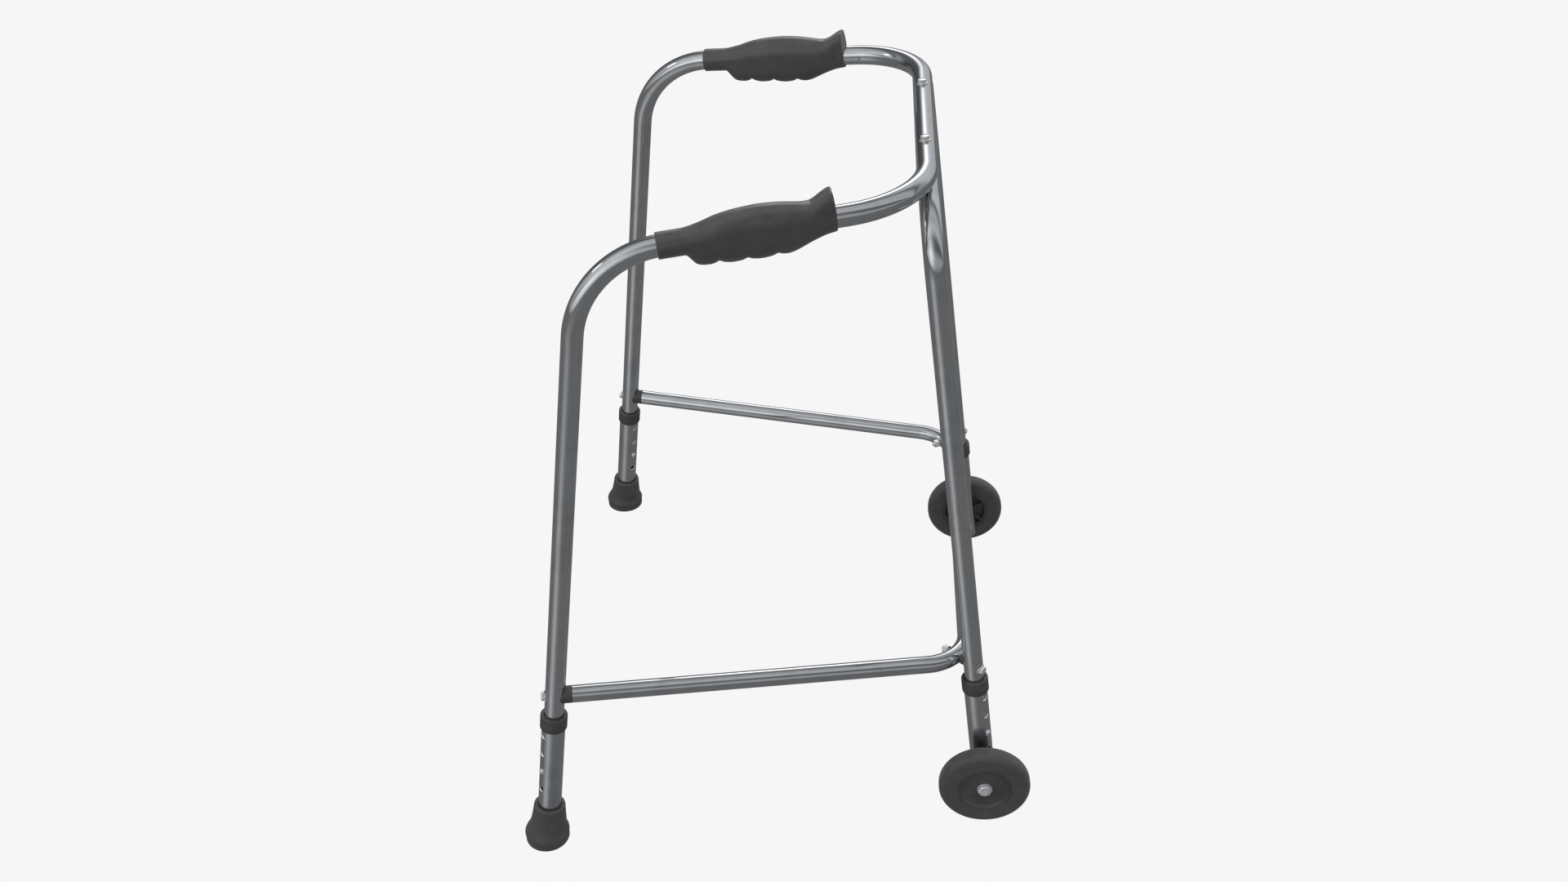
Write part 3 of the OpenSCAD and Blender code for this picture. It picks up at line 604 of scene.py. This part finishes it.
def hole_cutter(matrix):
    """Drill with a small countersink at the tube's skin on both sides."""
    r, flare, reach = HOLE_D / 2, 0.75, 20
    skin = math.sqrt(EXT_R ** 2 - r ** 2)
    half = [(r, skin - flare), (r + 2 * flare, skin + flare), (r + 2 * flare, reach)]
    profile = [(0, -reach)] + [(a, -b) for a, b in reversed(half)] + half + [(0, reach)]
    return lathe(profile, DRILL_SIDES, off_seam(matrix))


def extension(leg, bottom, top, button, azimuth):
    """Sleeve outside the leg tube, with its row of four through holes."""
    edge = 0.4
    tube = lathe([(EXT_BORE, bottom), (EXT_R - edge, bottom), (EXT_R, bottom + edge), (EXT_R, top - edge),
                  (EXT_R - edge, top), (EXT_BORE, top)], SLEEVE_SIDES, off_seam(leg))
    drills = [hole_cutter(leg_cross(leg, button + k * HOLE_PITCH, azimuth)) for k in range(-1, 3)]
    return carve(leg, tube, *drills)


def brighten_cuts(objects, bottom, top):
    """Gives the drilled edges of an extension the bright bare-metal material, by heights in the grain."""
    near, ends = 0.03, 5
    for obj in objects:
        mesh = obj.data
        mesh.materials.append(cut_steel)
        grain = mesh.attributes["grain"].data
        for face in mesh.polygons:
            spots = [grain[i].vector / MM for i in face.vertices]
            middle = sum(spots, Vector()) / len(spots)
            radii = [math.hypot(q.y, q.z) for q in spots]
            on_skin = any(max(abs(r - skin) for r in radii) < near for skin in (EXT_R, EXT_BORE))
            if bottom + ends < middle.x < top - ends and not on_skin:
                face.material_index = 1


def collar(leg, top):
    """Plastic collar with a shallow groove: grips the extension below and slides on the leg above."""
    low, groove = top - COLLAR_H, COLLAR_R - 0.25
    slide, seat = TUBE_R + 0.15, EXT_R + 0.05
    profile = [(seat, low + 0.4), (seat + 0.4, low), (COLLAR_R - 2.2, low), (COLLAR_R - 0.9, low + 0.5),
               (COLLAR_R, low + 2.2), (COLLAR_R, low + 9.6), (groove, low + 9.9), (groove, low + 10.5),
               (COLLAR_R, low + 10.8), (COLLAR_R, top - 1.3), (groove, top - 0.6),
               (COLLAR_R - 0.8, top - 0.15), (COLLAR_R - 1.4, top), (slide + 0.4, top), (slide, top - 0.4),
               (slide, top - COLLAR_LIP + 0.1), (seat, top - COLLAR_LIP + 0.1)]
    return lathe(profile, RING_SIDES, leg)


def snap_buttons(leg, s, azimuth):
    """Pair of domed buttons on one clip, each with a shallow skirt groove."""
    r, base, tip, dome = HOLE_D / 2 - 0.25, TUBE_BORE - 1.3, EXT_R + 3, 2.4
    profile = [(0, base), (r, base), (r, EXT_R - 0.6), (r - 0.25, EXT_R - 0.3), (r, EXT_R)]
    for degrees in range(0, 90, 10):
        t = math.radians(degrees)
        profile.append((r * math.cos(t), tip - dome + dome * math.sin(t)))
    profile += [(0.25, tip), (0, tip)]
    return join(*[lathe(profile, DRILL_SIDES, leg_cross(leg, s, azimuth + turn)) for turn in (0, 180)])


rear_leg = axes(REAR_FLOOR, REAR_UP, (1, 0, 0))
front_leg = axes(FRONT_FLOOR, FRONT_UP, (1, 0, 0))
for kind, leg, bottom, collar_top, button, azimuth in (
        ("rear", rear_leg, FOOT_FLOOR, REAR_COLLAR, REAR_BUTTON, REAR_AZIMUTH),
        ("front", front_leg, FRONT_EXT_END, FRONT_COLLAR, FRONT_BUTTON, FRONT_AZIMUTH)):
    top, body = collar_top - COLLAR_LIP, kind + "_leg_%s"
    tubes = add_sides(kind + "_extension_tube", extension(leg, bottom, top, button, azimuth), body,
                      "extension_steel", ext_steel, "extension_" + kind + "_%s")
    brighten_cuts(tubes, bottom, top)
    add_sides(kind + "_collar", collar(leg, collar_top), body, "dark_plastic", dark_plastic,
              "collar_" + kind + "_%s")
    add_sides(kind + "_snap_button", snap_buttons(leg, button, azimuth), "frame", "zinc_fasteners", zinc,
              "snap_buttons_" + kind + "_%s")


# ---------------------------------------------------------------------------
# Hand grips
# ---------------------------------------------------------------------------
def curve_through(knots):
    """Smooth monotone curve through (x, value) pairs."""
    xs, ys = zip(*knots)
    rises = [(y1 - y0) / (x1 - x0) for x0, x1, y0, y1 in zip(xs, xs[1:], ys, ys[1:])]
    inner = [0.0 if a * b <= 0 else 2 * a * b / (a + b) for a, b in zip(rises, rises[1:])]
    slopes = [rises[0]] + inner + [rises[-1]]

    def value(x):
        x = min(max(x, xs[0]), xs[-1])
        k = max(i for i in range(len(xs) - 1) if xs[i] <= x)
        h = xs[k + 1] - xs[k]
        t = (x - xs[k]) / h
        return ((2 * t ** 3 - 3 * t ** 2 + 1) * ys[k] + (t ** 3 - 2 * t ** 2 + t) * h * slopes[k]
                + (3 * t ** 2 - 2 * t ** 3) * ys[k + 1] + (t ** 3 - t ** 2) * h * slopes[k + 1])
    return value


# Sections of the grip at lengths in mm from its rear end: height above the tube's axis, depth below it
# with and without the finger lobes, half width, squareness of the top, hollow for the thumb, rearward lean
SLEEVE_R = 14.9
grip_top = curve_through([
    (0, SLEEVE_R), (27, SLEEVE_R), (46, 17.9), (68, 24.0), (90, 27.3), (112, 28.4), (134, 27.0), (152, 24.2),
    (162, 22.9), (168, 23.2), (174, 25.2), (180, 28.6), (186, 32.0), (190, 33.6), (193, 34.2), (195, 34.0)])
grip_bottom = curve_through([
    (0, SLEEVE_R), (29, SLEEVE_R), (32, 17.4), (36, 23.2), (40, 27.8), (46, 29.8), (54, 30.2), (60, 28.9),
    (64, 26.6), (69, 29.6), (79, 31.6), (89, 30.8), (95, 28.4), (100, 31.0), (111, 32.6), (122, 31.4),
    (128, 28.8), (133, 31.0), (139, 31.8), (146, 30.6), (155, 27.2), (165, 23.0), (175, 19.2), (185, 16.6),
    (195, 15.4)])
grip_even = curve_through([
    (0, SLEEVE_R), (29, SLEEVE_R), (35, 21.8), (41, 27.0), (58, 28.6), (86, 29.8), (115, 30.8), (139, 30.8),
    (155, 27.0), (165, 22.8), (175, 19.2), (185, 16.6), (195, 15.4)])
grip_width = curve_through([
    (0, SLEEVE_R), (27, SLEEVE_R), (50, 16.4), (80, 18.4), (115, 19.0), (145, 18.0), (168, 15.6), (185, 14.9),
    (195, 14.9)])
grip_square = curve_through([(0, 2.0), (30, 2.0), (70, 2.25), (150, 2.3), (166, 2.6), (180, 3.6), (195, 4.0)])
grip_dish = curve_through([(0, 0.0), (158, 0.0), (170, 1.2), (182, 2.6), (195, 1.2)])
grip_lean = curve_through([(0, 0.0), (160, 0.0), (180, 0.04), (195, 0.07)])


def grip_point(x, a, inset):
    """Point of the grip's skin: x along the tube from the sleeve's rear end, a around it from outboard."""
    c, s = math.cos(a), math.sin(a)
    width = grip_width(x)
    if s >= 0:
        power = 2 / grip_square(x)
    else:
        power = 2 / (2.0 + 0.5 * min(1, max(0, (x - 30) / 20)) * min(1, (GRIP_LEN - x) / 20))
    q = width * math.copysign(abs(c) ** power, c)
    if s >= 0:
        h = grip_top(x) * abs(s) ** power
        h -= grip_dish(x) * max(0.0, 1 - (q / (width * 0.8)) ** 2) * min(1, s)
    else:
        lobes = abs(s) ** 2.5
        h = -(grip_even(x) + (grip_bottom(x) - grip_even(x)) * lobes) * abs(s) ** power
    shrink = 1 - inset / SLEEVE_R
    q, h = q * shrink, h * shrink
    return x - grip_lean(x) * max(0.0, h - 12), q, h


def grip():
    start = REAR_CORNER + HANDLE_DIR * GRIP_START
    up, outboard = Vector((0, 0, 1)), Vector((0, 1, 0))
    z_axis = (up - HANDLE_DIR * HANDLE_DIR.dot(up)).normalized()
    y_axis = (outboard - HANDLE_DIR * HANDLE_DIR.dot(outboard) - z_axis * z_axis.dot(outboard)).normalized()
    turn = around(SLEEVE_SIDES)
    stations = [(0.0, 1.0), (0.15, 0.5), (0.5, 0.12), (1.0, 0.0)]
    x = 2.0
    while x < GRIP_LEN - 1.5:
        stations.append((x, 0.0))
        x += 1.25
    stations += [(GRIP_LEN - 1.4, 0.0), (GRIP_LEN - 0.7, 0.18), (GRIP_LEN - 0.25, 0.6), (GRIP_LEN, 1.2)]
    rows = [[grip_point(x, a, inset) for a in turn] for x, inset in stations]
    bore = [((TUBE_R + 0.15) * math.cos(a), (TUBE_R + 0.15) * math.sin(a)) for a in turn]
    last = rows[-1]
    for share in (0.35, 0.7):
        rows.append([(p[0], v * share + p[1] * (1 - share), w * share + p[2] * (1 - share))
                     for (v, w), p in zip(bore, last)])
    rows += [[(x, v, w) for v, w in bore] for x in (GRIP_LEN, GRIP_LEN / 2, 0.0)]
    rings = [[start + HANDLE_DIR * p[0] + y_axis * p[1] + z_axis * p[2] for p in row] for row in rows]
    return loft(rings, [[Vector(p) for p in row] for row in rows], closed=True)


add_sides("hand_grip", grip(), "frame", "grip_rubber", grip_plastic, "grip_%s", angle=50)


# ---------------------------------------------------------------------------
# Feet and wheels
# ---------------------------------------------------------------------------
def foot():
    """Ringed rubber foot: level at the floor, leaning with the leg higher up, with a socket for the leg."""
    outline = [(7.0, 0.0), (9.6, 0.0), (10.0, 0.4), (10.4, 2.0), (11.6, 2.0), (12.0, 0.4), (12.4, 0.0),
               (16.6, 0.0), (17.0, 0.4), (17.4, 2.0), (18.6, 2.0), (19.0, 0.4), (19.4, 0.0), (27.2, 0.0),
               (28.1, 0.6), (28.4, 1.4), (28.4, 4.7), (27.4, 5.3), (27.4, 6.1), (28.5, 6.8), (28.6, 8.8),
               (27.6, 9.4), (27.6, 10.2), (28.8, 10.9), (29.0, 11.8), (28.9, 13.2), (28.0, 15.6),
               (26.2, 18.8), (24.6, 22.6), (23.6, 26.6), (22.9, 31.0), (22.2, 37.0), (21.4, 44.0),
               (20.7, 51.0), (20.5, FOOT_H - 2.6), (20.1, FOOT_H - 1.2), (19.2, FOOT_H - 0.3),
               (18.2, FOOT_H), (16.3, FOOT_H), (15.4, FOOT_H - 0.4), (15.1, FOOT_H - 1.2)]
    socket = [(15.05, 40.0), (15.05, FOOT_FLOOR)]
    lean_from, lean_over = 12, 20
    tilt = rear_leg.to_3x3()
    rings, grains = [], []
    for r, z in outline + socket:
        t = 1.0 if (r, z) in socket else min(1.0, max(0.0, (z - lean_from) / lean_over))
        t = t * t * (3 - 2 * t)
        flats = [Vector((r * math.cos(a), r * math.sin(a), 0)) for a in around(SLEEVE_SIDES)]
        rings.append([(REAR_FLOOR + flat + Vector((0, 0, z))).lerp(REAR_FLOOR + REAR_UP * z + tilt @ flat, t)
                      for flat in flats])
        grains.append([Vector((z, flat.x, flat.y)) for flat in flats])
    return loft(rings, grains, caps=True)


axle_frame = axes(AXLE, (0, 1, 0), (0, 0, 1))
wheel_frame = axle_frame @ Matrix.Translation((0, 0, WHEEL_IN))


def tyre():
    """Solid tyre: full round shoulders, lightly domed faces and a fine mould line round the tread."""
    half = TYRE_W / 2
    shoulder = 9.0
    side = [(35.6, half - 1.4), (36.0, half - 1.0), (37.2, half - 0.7), (40.0, half - 0.25), (44.0, half),
            (48.0, half - 0.1)]
    for degrees in range(0, 91, 9):
        a = math.radians(degrees)
        side.append((WHEEL_R - shoulder * (1 - math.sin(a)),
                     half - shoulder + (shoulder - 0.25) * math.cos(a)))
    side.append((WHEEL_R - 0.15, 0.45))
    profile = [(r, half - h) for r, h in side] + [(WHEEL_R, half)]
    profile += [(r, half + h) for r, h in reversed(side)]
    return lathe(profile, WHEEL_SIDES, wheel_frame)


def hub_pocket(k):
    """Cutter for the room between two ribs, drawn in a little at its floor."""
    middle = math.radians(360 / HUB_RIBS * (k + 0.5))
    steps = 8
    rows = []
    for z, draw in ((-4.0, 0.0), (9.4, 0.0), (10.0, 0.5)):
        row = []
        for r, way in ((31.9 - draw, 1), (13.4 + draw, -1)):
            half = math.radians(180 / HUB_RIBS) - math.asin((HUB_RIB_T / 2 + draw) / r)
            turns = [middle - way * half + way * 2 * half * j / steps for j in range(steps + 1)]
            row += [Vector((r * math.cos(a), r * math.sin(a), z)) for a in turns]
        rows.append(row)
    return loft([[wheel_frame @ p for p in row] for row in rows], rows, caps=True)


def hub():
    """Moulded disc: dished outer face with a raised ring, ribbed pocket inside."""
    z0, z1 = 2.0, TYRE_W - 2.0
    profile = [(7.0, 7.9), (7.4, 7.5), (12.6, 7.5), (13.0, 7.1), (13.2, z0 + 0.6), (31.8, z0 + 0.6),
               (32.2, z0 + 0.2), (32.6, z0), (35.0, z0), (35.5, z0 + 0.5), (35.5, z1 + 0.3), (35.2, z1 + 1.0),
               (34.6, z1 + 1.4), (33.7, z1 + 1.4), (32.8, z1 + 1.0), (32.0, z1 + 0.1), (31.2, z1 - 1.2),
               (30.4, z1 - 1.9), (29.4, z1 - 2.1), (26.0, z1 - 2.0), (12.5, z1 - 2.0), (11.8, z1 - 1.6),
               (11.2, z1 - 1.3), (7.4, z1 - 1.3), (7.0, z1 - 1.7)]
    disc = lathe(profile, WHEEL_SIDES, off_seam(wheel_frame))
    return carve(axle_frame, disc, *[hub_pocket(k) for k in range(HUB_RIBS)])


def axle_bolt():
    """Low round head with a hexagon socket, on a shank that runs through the leg."""
    hub_out = WHEEL_IN + TYRE_W - 4
    leg_y = LEG_HALF_FLOOR - (LEG_HALF_FLOOR - LEG_HALF_TOP) * WHEEL_R / LEG_CORNER.z
    head, tail, r = hub_out + 2, leg_y - 27, AXLE_D / 2
    outline = [(0.8, tail), (r - 0.8, tail), (r, tail + 0.8), (r, head), (8.6, head), (9.0, head + 0.4),
               (9.0, head + 2.6), (8.6, head + 3.5), (7.6, head + 4.2), (6.4, head + 4.6), (5.2, head + 4.6)]
    socket = hexagon(4.3 * math.cos(math.pi / 6), RING_SIDES)
    rows = [[spot] * RING_SIDES for spot in outline]
    for wider, z in ((0.25, 4.5), (0, 4.1), (0, 1.4)):
        rows.append([(reach + wider, head + z) for reach in socket])
    rows.append([(0.6, head + 0.9)] * RING_SIDES)
    return turned(rows, axle_frame)


def end_plug():
    """Plug in the front extension's lower end, with a rounded flange and a hollow stem."""
    e = FRONT_EXT_END
    profile = [(0, e - 4), (EXT_R - 1.4, e - 4), (EXT_R - 0.5, e - 3.6), (EXT_R, e - 2.6), (EXT_R, e - 0.6),
               (EXT_R - 0.5, e - 0.05), (EXT_BORE - 0.1, e - 0.05), (EXT_BORE - 0.1, e + 10.4),
               (EXT_BORE - 0.6, e + 11), (EXT_BORE - 2.2, e + 11), (EXT_BORE - 2.5, e + 10.6),
               (EXT_BORE - 2.5, e + 2), (0, e + 2)]
    return lathe(profile, PLUG_SIDES, front_leg)


add_sides("rubber_foot", foot(), "rear_leg_%s", "foot_rubber", foot_rubber, "foot_%s", angle=40)
add_sides("tyre_ring", tyre(), "wheel_%s", "tyre_rubber", tyre_rubber, "tyre_%s", angle=45)
add_sides("hub_disc", hub(), "wheel_%s", "hub_plastic", hub_plastic, "hub_%s", angle=35)
add_sides("axle_screw", axle_bolt(), "front_leg_%s", "zinc_fasteners", zinc, "axle_bolt_%s")
add_sides("leg_end_plug", end_plug(), "front_leg_%s", "dark_plastic", dark_plastic, "end_plug_%s")

# ---------------------------------------------------------------------------
# Brace fittings and bolts
# ---------------------------------------------------------------------------
UP = (0, 0, 1)
BOLT_BORE = BOLT_D / 2 + 0.25
rear_joint = axes(REAR_JOINT, BRACE_DIR, UP)
front_joint = axes(BEND_CENTRE, BOLT_DIR, UP)


def leg_cutter(leg):
    r, low, high = TUBE_R + 0.05, 100, 400
    return lathe([(0, low), (r, low), (r, high), (0, high)], SLEEVE_SIDES, leg)


def brace_cap():
    """Cap that saddles the rear leg and plugs the brace's end, with a hollow stem for the bolt."""
    end, stem, stem_end = TUBE_R + BRACE_CAP, BRACE_BORE - 0.1, TUBE_R + BRACE_CAP + 24
    profile = [(BOLT_BORE, 2), (BRACE_R, 2), (BRACE_R, end - 1.0), (BRACE_R - 0.3, end - 0.3),
               (BRACE_R - 0.9, end - 0.02), (stem, end - 0.02), (stem, stem_end - 1), (stem - 1.0, stem_end),
               (5.2, stem_end), (5.0, stem_end - 0.2), (5.0, end + 4), (BOLT_BORE, end + 4)]
    return carve(rear_joint, lathe(profile, RING_SIDES, rear_joint), leg_cutter(rear_leg))


def brace_spacer():
    """Spacer between the brace's bend and the front leg, hollowed to both tubes."""
    low, high, r = BRACE_BEND_R + BRACE_R - 3, JOINT_R - 3, 6.5
    body = lathe([(BOLT_BORE, low), (r, low), (r, high), (BOLT_BORE, high)], SPACER_SIDES, front_joint)
    arc = [BEND_CENTRE + Matrix.Rotation(math.radians(a), 3, "Z") @ Vector((BRACE_BEND_R, 0, 0))
           for a in range(-6, 97, 3)]
    return carve(front_joint, body, leg_cutter(front_leg), solid_rod(arc, BRACE_R + 0.05))


BOLT_SEAT = HEAD_SEAT + 0.1
NUT_BORE = BOLT_D / 2 + 0.02
rear_out = axes(REAR_JOINT, -BRACE_DIR, UP)
leg_side = axes(FRONT_JOINT, BOLT_DIR, UP)
brace_inside = BRACE_BEND_R - BRACE_R
nut_at = axes(BEND_CENTRE + BOLT_DIR * (brace_inside - 1), -BOLT_DIR, UP)
nut_washer = lathe([(NUT_BORE, 0), (6.0, 0), (6.0, 1), (NUT_BORE, 1)], SPACER_SIDES, nut_at)
front_nut = hex_head(5.5, nut_at @ Matrix.Translation((0, 0, 1)), nut=True)
top_at = axes(Vector((FRONT_CORNER.x, TOP_BOLT_Y, FRONT_BAR_Z)), -DOWN, (1, 0, 0))
under = axes(top_at @ Vector((0, 0, -BAR_GAP - TUBE_R - 0.2)), DOWN, (1, 0, 0))

for name, part, node in (("brace_end_caps", brace_cap(), "brace_caps"),
                         ("brace_standoffs", brace_spacer(), "brace_spacers")):
    add(name, join(part, mirrored(part)), "frame", "dark_plastic", dark_plastic, node)
for name, part, node in (
        ("brace_rear_screws", hex_bolt(rear_out, BOLT_SEAT, HEAD_SEAT + TUBE_R + BRACE_CAP + 18),
         "brace_rear_bolts"),
        ("brace_rear_curved_washers", curved_washer(rear_out, REAR_UP), "brace_rear_washers"),
        ("brace_front_screws", hex_bolt(leg_side, BOLT_SEAT, JOINT_R + BOLT_SEAT - (brace_inside - 10)),
         "brace_front_bolts"),
        ("brace_front_curved_washers", curved_washer(leg_side, FRONT_UP), "brace_front_washers"),
        ("brace_front_lock_nuts", join(front_nut, nut_washer), "brace_front_nuts"),
        ("top_bar_screws", hex_bolt(top_at, BOLT_SEAT, 2 * TUBE_R + BAR_GAP + 13), "top_bolts"),
        ("top_bar_curved_washers", curved_washer(top_at, (0, 1, 0)), "top_washers"),
        ("top_bar_nuts", hex_head(6, under, nut=True), "top_nuts")):
    add(name, join(part, mirrored(part)), "frame", "zinc_fasteners", zinc, node)

# CAD nodes whose shape is right keep it and get a node material
replaced = {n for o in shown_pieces() for n in o.get("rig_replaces", [])}
for name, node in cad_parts.items():
    if name in replaced or node.hide_render:
        continue
    node.data.materials.clear()
    if name.startswith("bush"):
        node.data.materials.append(cad_bush)
    elif name.startswith("snap_spring"):
        node.data.materials.append(cad_spring)
    else:
        node.data.materials.append(cad_zinc)

# ---------------------------------------------------------------------------
# Stage: floor, world, light, camera
# ---------------------------------------------------------------------------
PALE = 0.922
# Height in mm of the feet and wheels with the legs fully let down, so that no pose sinks into the floor
FLOOR_LEVEL = -58.0
# What the steel mirrors: (degrees, brightness) round the object, 0 level towards the camera, 90 straight up
STUDIO_BANDS = [(-178, 0.22), (-90, 0.24), (-50, 0.24), (-20, 0.15), (-4, 0.18), (10, 0.38), (20, 0.41),
                (36, 0.13), (50, 0.15), (64, 0.54), (74, 0.57), (84, 0.46), (94, 0.54), (104, 0.45),
                (115, 0.13), (130, 0.38), (150, 0.34), (178, 0.20)]
BAND_BLUE = 0.07
# Glows in the world and on the floor: direction, sharpness, strength
CAMERA_SIDE_GLOW = ((-0.62, -0.75, 0.40), 9.0, 0.84)
BACK_GLOW = ((-0.07, 0.866, 0.50), 75.0, 2.6)
FLOOR_GLOW = ((0.50, 0.66, 0.56), 16.0, 0.34)
FLOOR_MIRRORED, FLOOR_DIFFUSE = 0.18, 0.34
# Plain light for the plastics: brightness at the horizon and its gain towards the zenith
SKY_LEVEL, SKY_GAIN = 0.57, 1.10
# Lamp: where it is from its target, distance and size in m, radiance
LAMP_DIRECTION, LAMP_TARGET = Vector((-0.83, 0.04, 0.55)), Vector((0, 0, 0.5))
LAMP_DISTANCE, LAMP_SIZE, LAMP_RADIANCE = 3.6, 0.5, 2.5
# Camera: place in mm, directions in degrees, lens in mm on a 36 mm sensor
CAMERA_AT = Vector((386.29, -1761.23, 1586.07))
CAMERA_YAW, CAMERA_PITCH, CAMERA_LENS = 93.05, -34.16, 35.682


def split_by_camera(s, output, other, seen):
    """Ends a tree with one shader for what the camera sees and one for all other rays."""
    camera_ray = s.node("ShaderNodeLightPath").outputs["Is Camera Ray"]
    both = {0: camera_ray, 1: other.outputs[0], 2: seen.outputs[0]}
    s.output(output, s.node("ShaderNodeMixShader", both))


def build_floor():
    size, level = 30.0, FLOOR_LEVEL * MM
    mesh = bpy.data.meshes.new("studio_floor")
    corners = [(-size, -size, level), (size, -size, level), (size, size, level), (-size, size, level)]
    mesh.from_pydata(corners, [], [(0, 1, 2, 3)])
    floor = bpy.data.objects.new("studio_floor", mesh)
    bpy.context.scene.collection.objects.link(floor)
    s = Shader(bpy.data.materials.new("studio_floor"))
    # Painted contact shadow: what the camera sees of the floor is an emission dimmed by up to 5% where
    # ambient occlusion finds the object close
    near = s.node("ShaderNodeAmbientOcclusion", {"Distance": 0.12}, samples=8).outputs["AO"]
    painted_contact_shadow = s.spread(near, 0.0, 1.0, 0.95 * PALE, PALE)
    seen = s.node("ShaderNodeEmission", {"Color": grey(1.0), "Strength": painted_contact_shadow})
    incoming = s.node("ShaderNodeNewGeometry").outputs["Incoming"]
    diffuse = s.node("ShaderNodeLightPath").outputs["Is Diffuse Ray"]
    # Painted sheen: to every ray but the camera's the floor is an emission, brighter towards FLOOR_GLOW for
    # mirrored rays and plain at FLOOR_DIFFUSE for diffuse rays
    sheen = s.math("ADD", FLOOR_MIRRORED, s.glow(incoming, *FLOOR_GLOW))
    strength = s.raised(sheen, (diffuse, s.math("SUBTRACT", FLOOR_DIFFUSE, sheen)))
    other = s.node("ShaderNodeEmission", {"Color": grey(1.0, 0.03), "Strength": strength})
    split_by_camera(s, "ShaderNodeOutputMaterial", other, seen)
    mesh.materials.append(s.owner)


def build_world():
    """Grey studio mirrored in the steel: dark horizon, pale ceiling panels, glows at the camera's left and
    at the back. Diffuse rays get plain light from above and the camera sees a plain backdrop."""
    world = bpy.data.worlds.new("studio")
    bpy.context.scene.world = world
    s = Shader(world)
    where = s.node("ShaderNodeTexCoord").outputs["Generated"]
    x, y, z = s.node("ShaderNodeSeparateXYZ", {0: where}).outputs
    angle = s.math("DIVIDE", s.math("ARCTAN2", z, s.math("MULTIPLY", y, -1.0)), 2 * math.pi)
    ramp = s.node("ShaderNodeValToRGB", {0: s.math("ADD", angle, 0.5)})
    bands = ramp.color_ramp.elements
    while len(bands) > 1:
        bands.remove(bands[0])
    for k, (degrees, value) in enumerate(STUDIO_BANDS):
        spot = degrees / 360 + 0.5
        band = bands.new(spot) if k else bands[0]
        band.position = spot
        band.color = grey(value, BAND_BLUE)

    # Beyond the object the bands are dimmer on the left and lifted on the right
    far = s.spread(y, 0.3, 0.6)
    left = s.math("MULTIPLY", s.spread(x, -0.12, -0.28), far)
    right = s.math("MULTIPLY", s.spread(x, 0.05, 0.2), far)
    total = s.math("MULTIPLY", ramp.outputs[0], s.math("SUBTRACT", 1.0, s.math("MULTIPLY", left, 0.62)))
    total = s.raised(total, (right, 0.30))
    for glow in (CAMERA_SIDE_GLOW, BACK_GLOW):
        total = s.math("ADD", total, s.glow(where, *glow))
    diffuse = s.node("ShaderNodeLightPath").outputs["Is Diffuse Ray"]
    sky = s.math("ADD", s.math("MULTIPLY", z, SKY_GAIN), SKY_LEVEL)
    total = s.raised(total, (diffuse, s.math("SUBTRACT", sky, total)))
    tint = s.mix(diffuse, grey(1.0, 0.05), grey(1.0, 0.02))
    other = s.node("ShaderNodeBackground", {"Color": tint, "Strength": total})
    seen = s.node("ShaderNodeBackground", {"Color": grey(1.0), "Strength": PALE})
    split_by_camera(s, "ShaderNodeOutputWorld", other, seen)


def build_lamp():
    """Small light panel beyond the rear feet, for the sparks on the fasteners."""
    data = bpy.data.lights.new("spark_panel", "AREA")
    data.shape = "RECTANGLE"
    data.size = data.size_y = LAMP_SIZE
    data.energy = LAMP_RADIANCE * math.pi * LAMP_SIZE * LAMP_SIZE
    lamp = bpy.data.objects.new("spark_panel", data)
    bpy.context.scene.collection.objects.link(lamp)
    direction = LAMP_DIRECTION.normalized()
    lamp.location = LAMP_TARGET + direction * LAMP_DISTANCE
    lamp.rotation_mode = "QUATERNION"
    lamp.rotation_quaternion = direction.to_track_quat("Z", "Y")


def build_camera():
    """The photograph's view: from the right, above the handles, looking down and across."""
    data = bpy.data.cameras.new("camera")
    data.sensor_width = 36.0
    data.lens = CAMERA_LENS
    data.clip_start, data.clip_end = 0.05, 60.0
    camera = bpy.data.objects.new("camera", data)
    bpy.context.scene.collection.objects.link(camera)
    yaw, pitch = math.radians(CAMERA_YAW), math.radians(CAMERA_PITCH)
    look = Vector((math.cos(yaw) * math.cos(pitch), math.sin(yaw) * math.cos(pitch), math.sin(pitch)))
    camera.location = (CAMERA_AT - Vector((PLAN_MID, 0, 0))) * MM
    camera.rotation_mode = "QUATERNION"
    camera.rotation_quaternion = look.to_track_quat("-Z", "Y")
    bpy.context.scene.camera = camera


build_floor()
build_world()
build_lamp()
build_camera()
view = bpy.context.scene.view_settings
view.view_transform = "Standard"
view.look = "None"
view.exposure = 0.0
view.gamma = 1.0
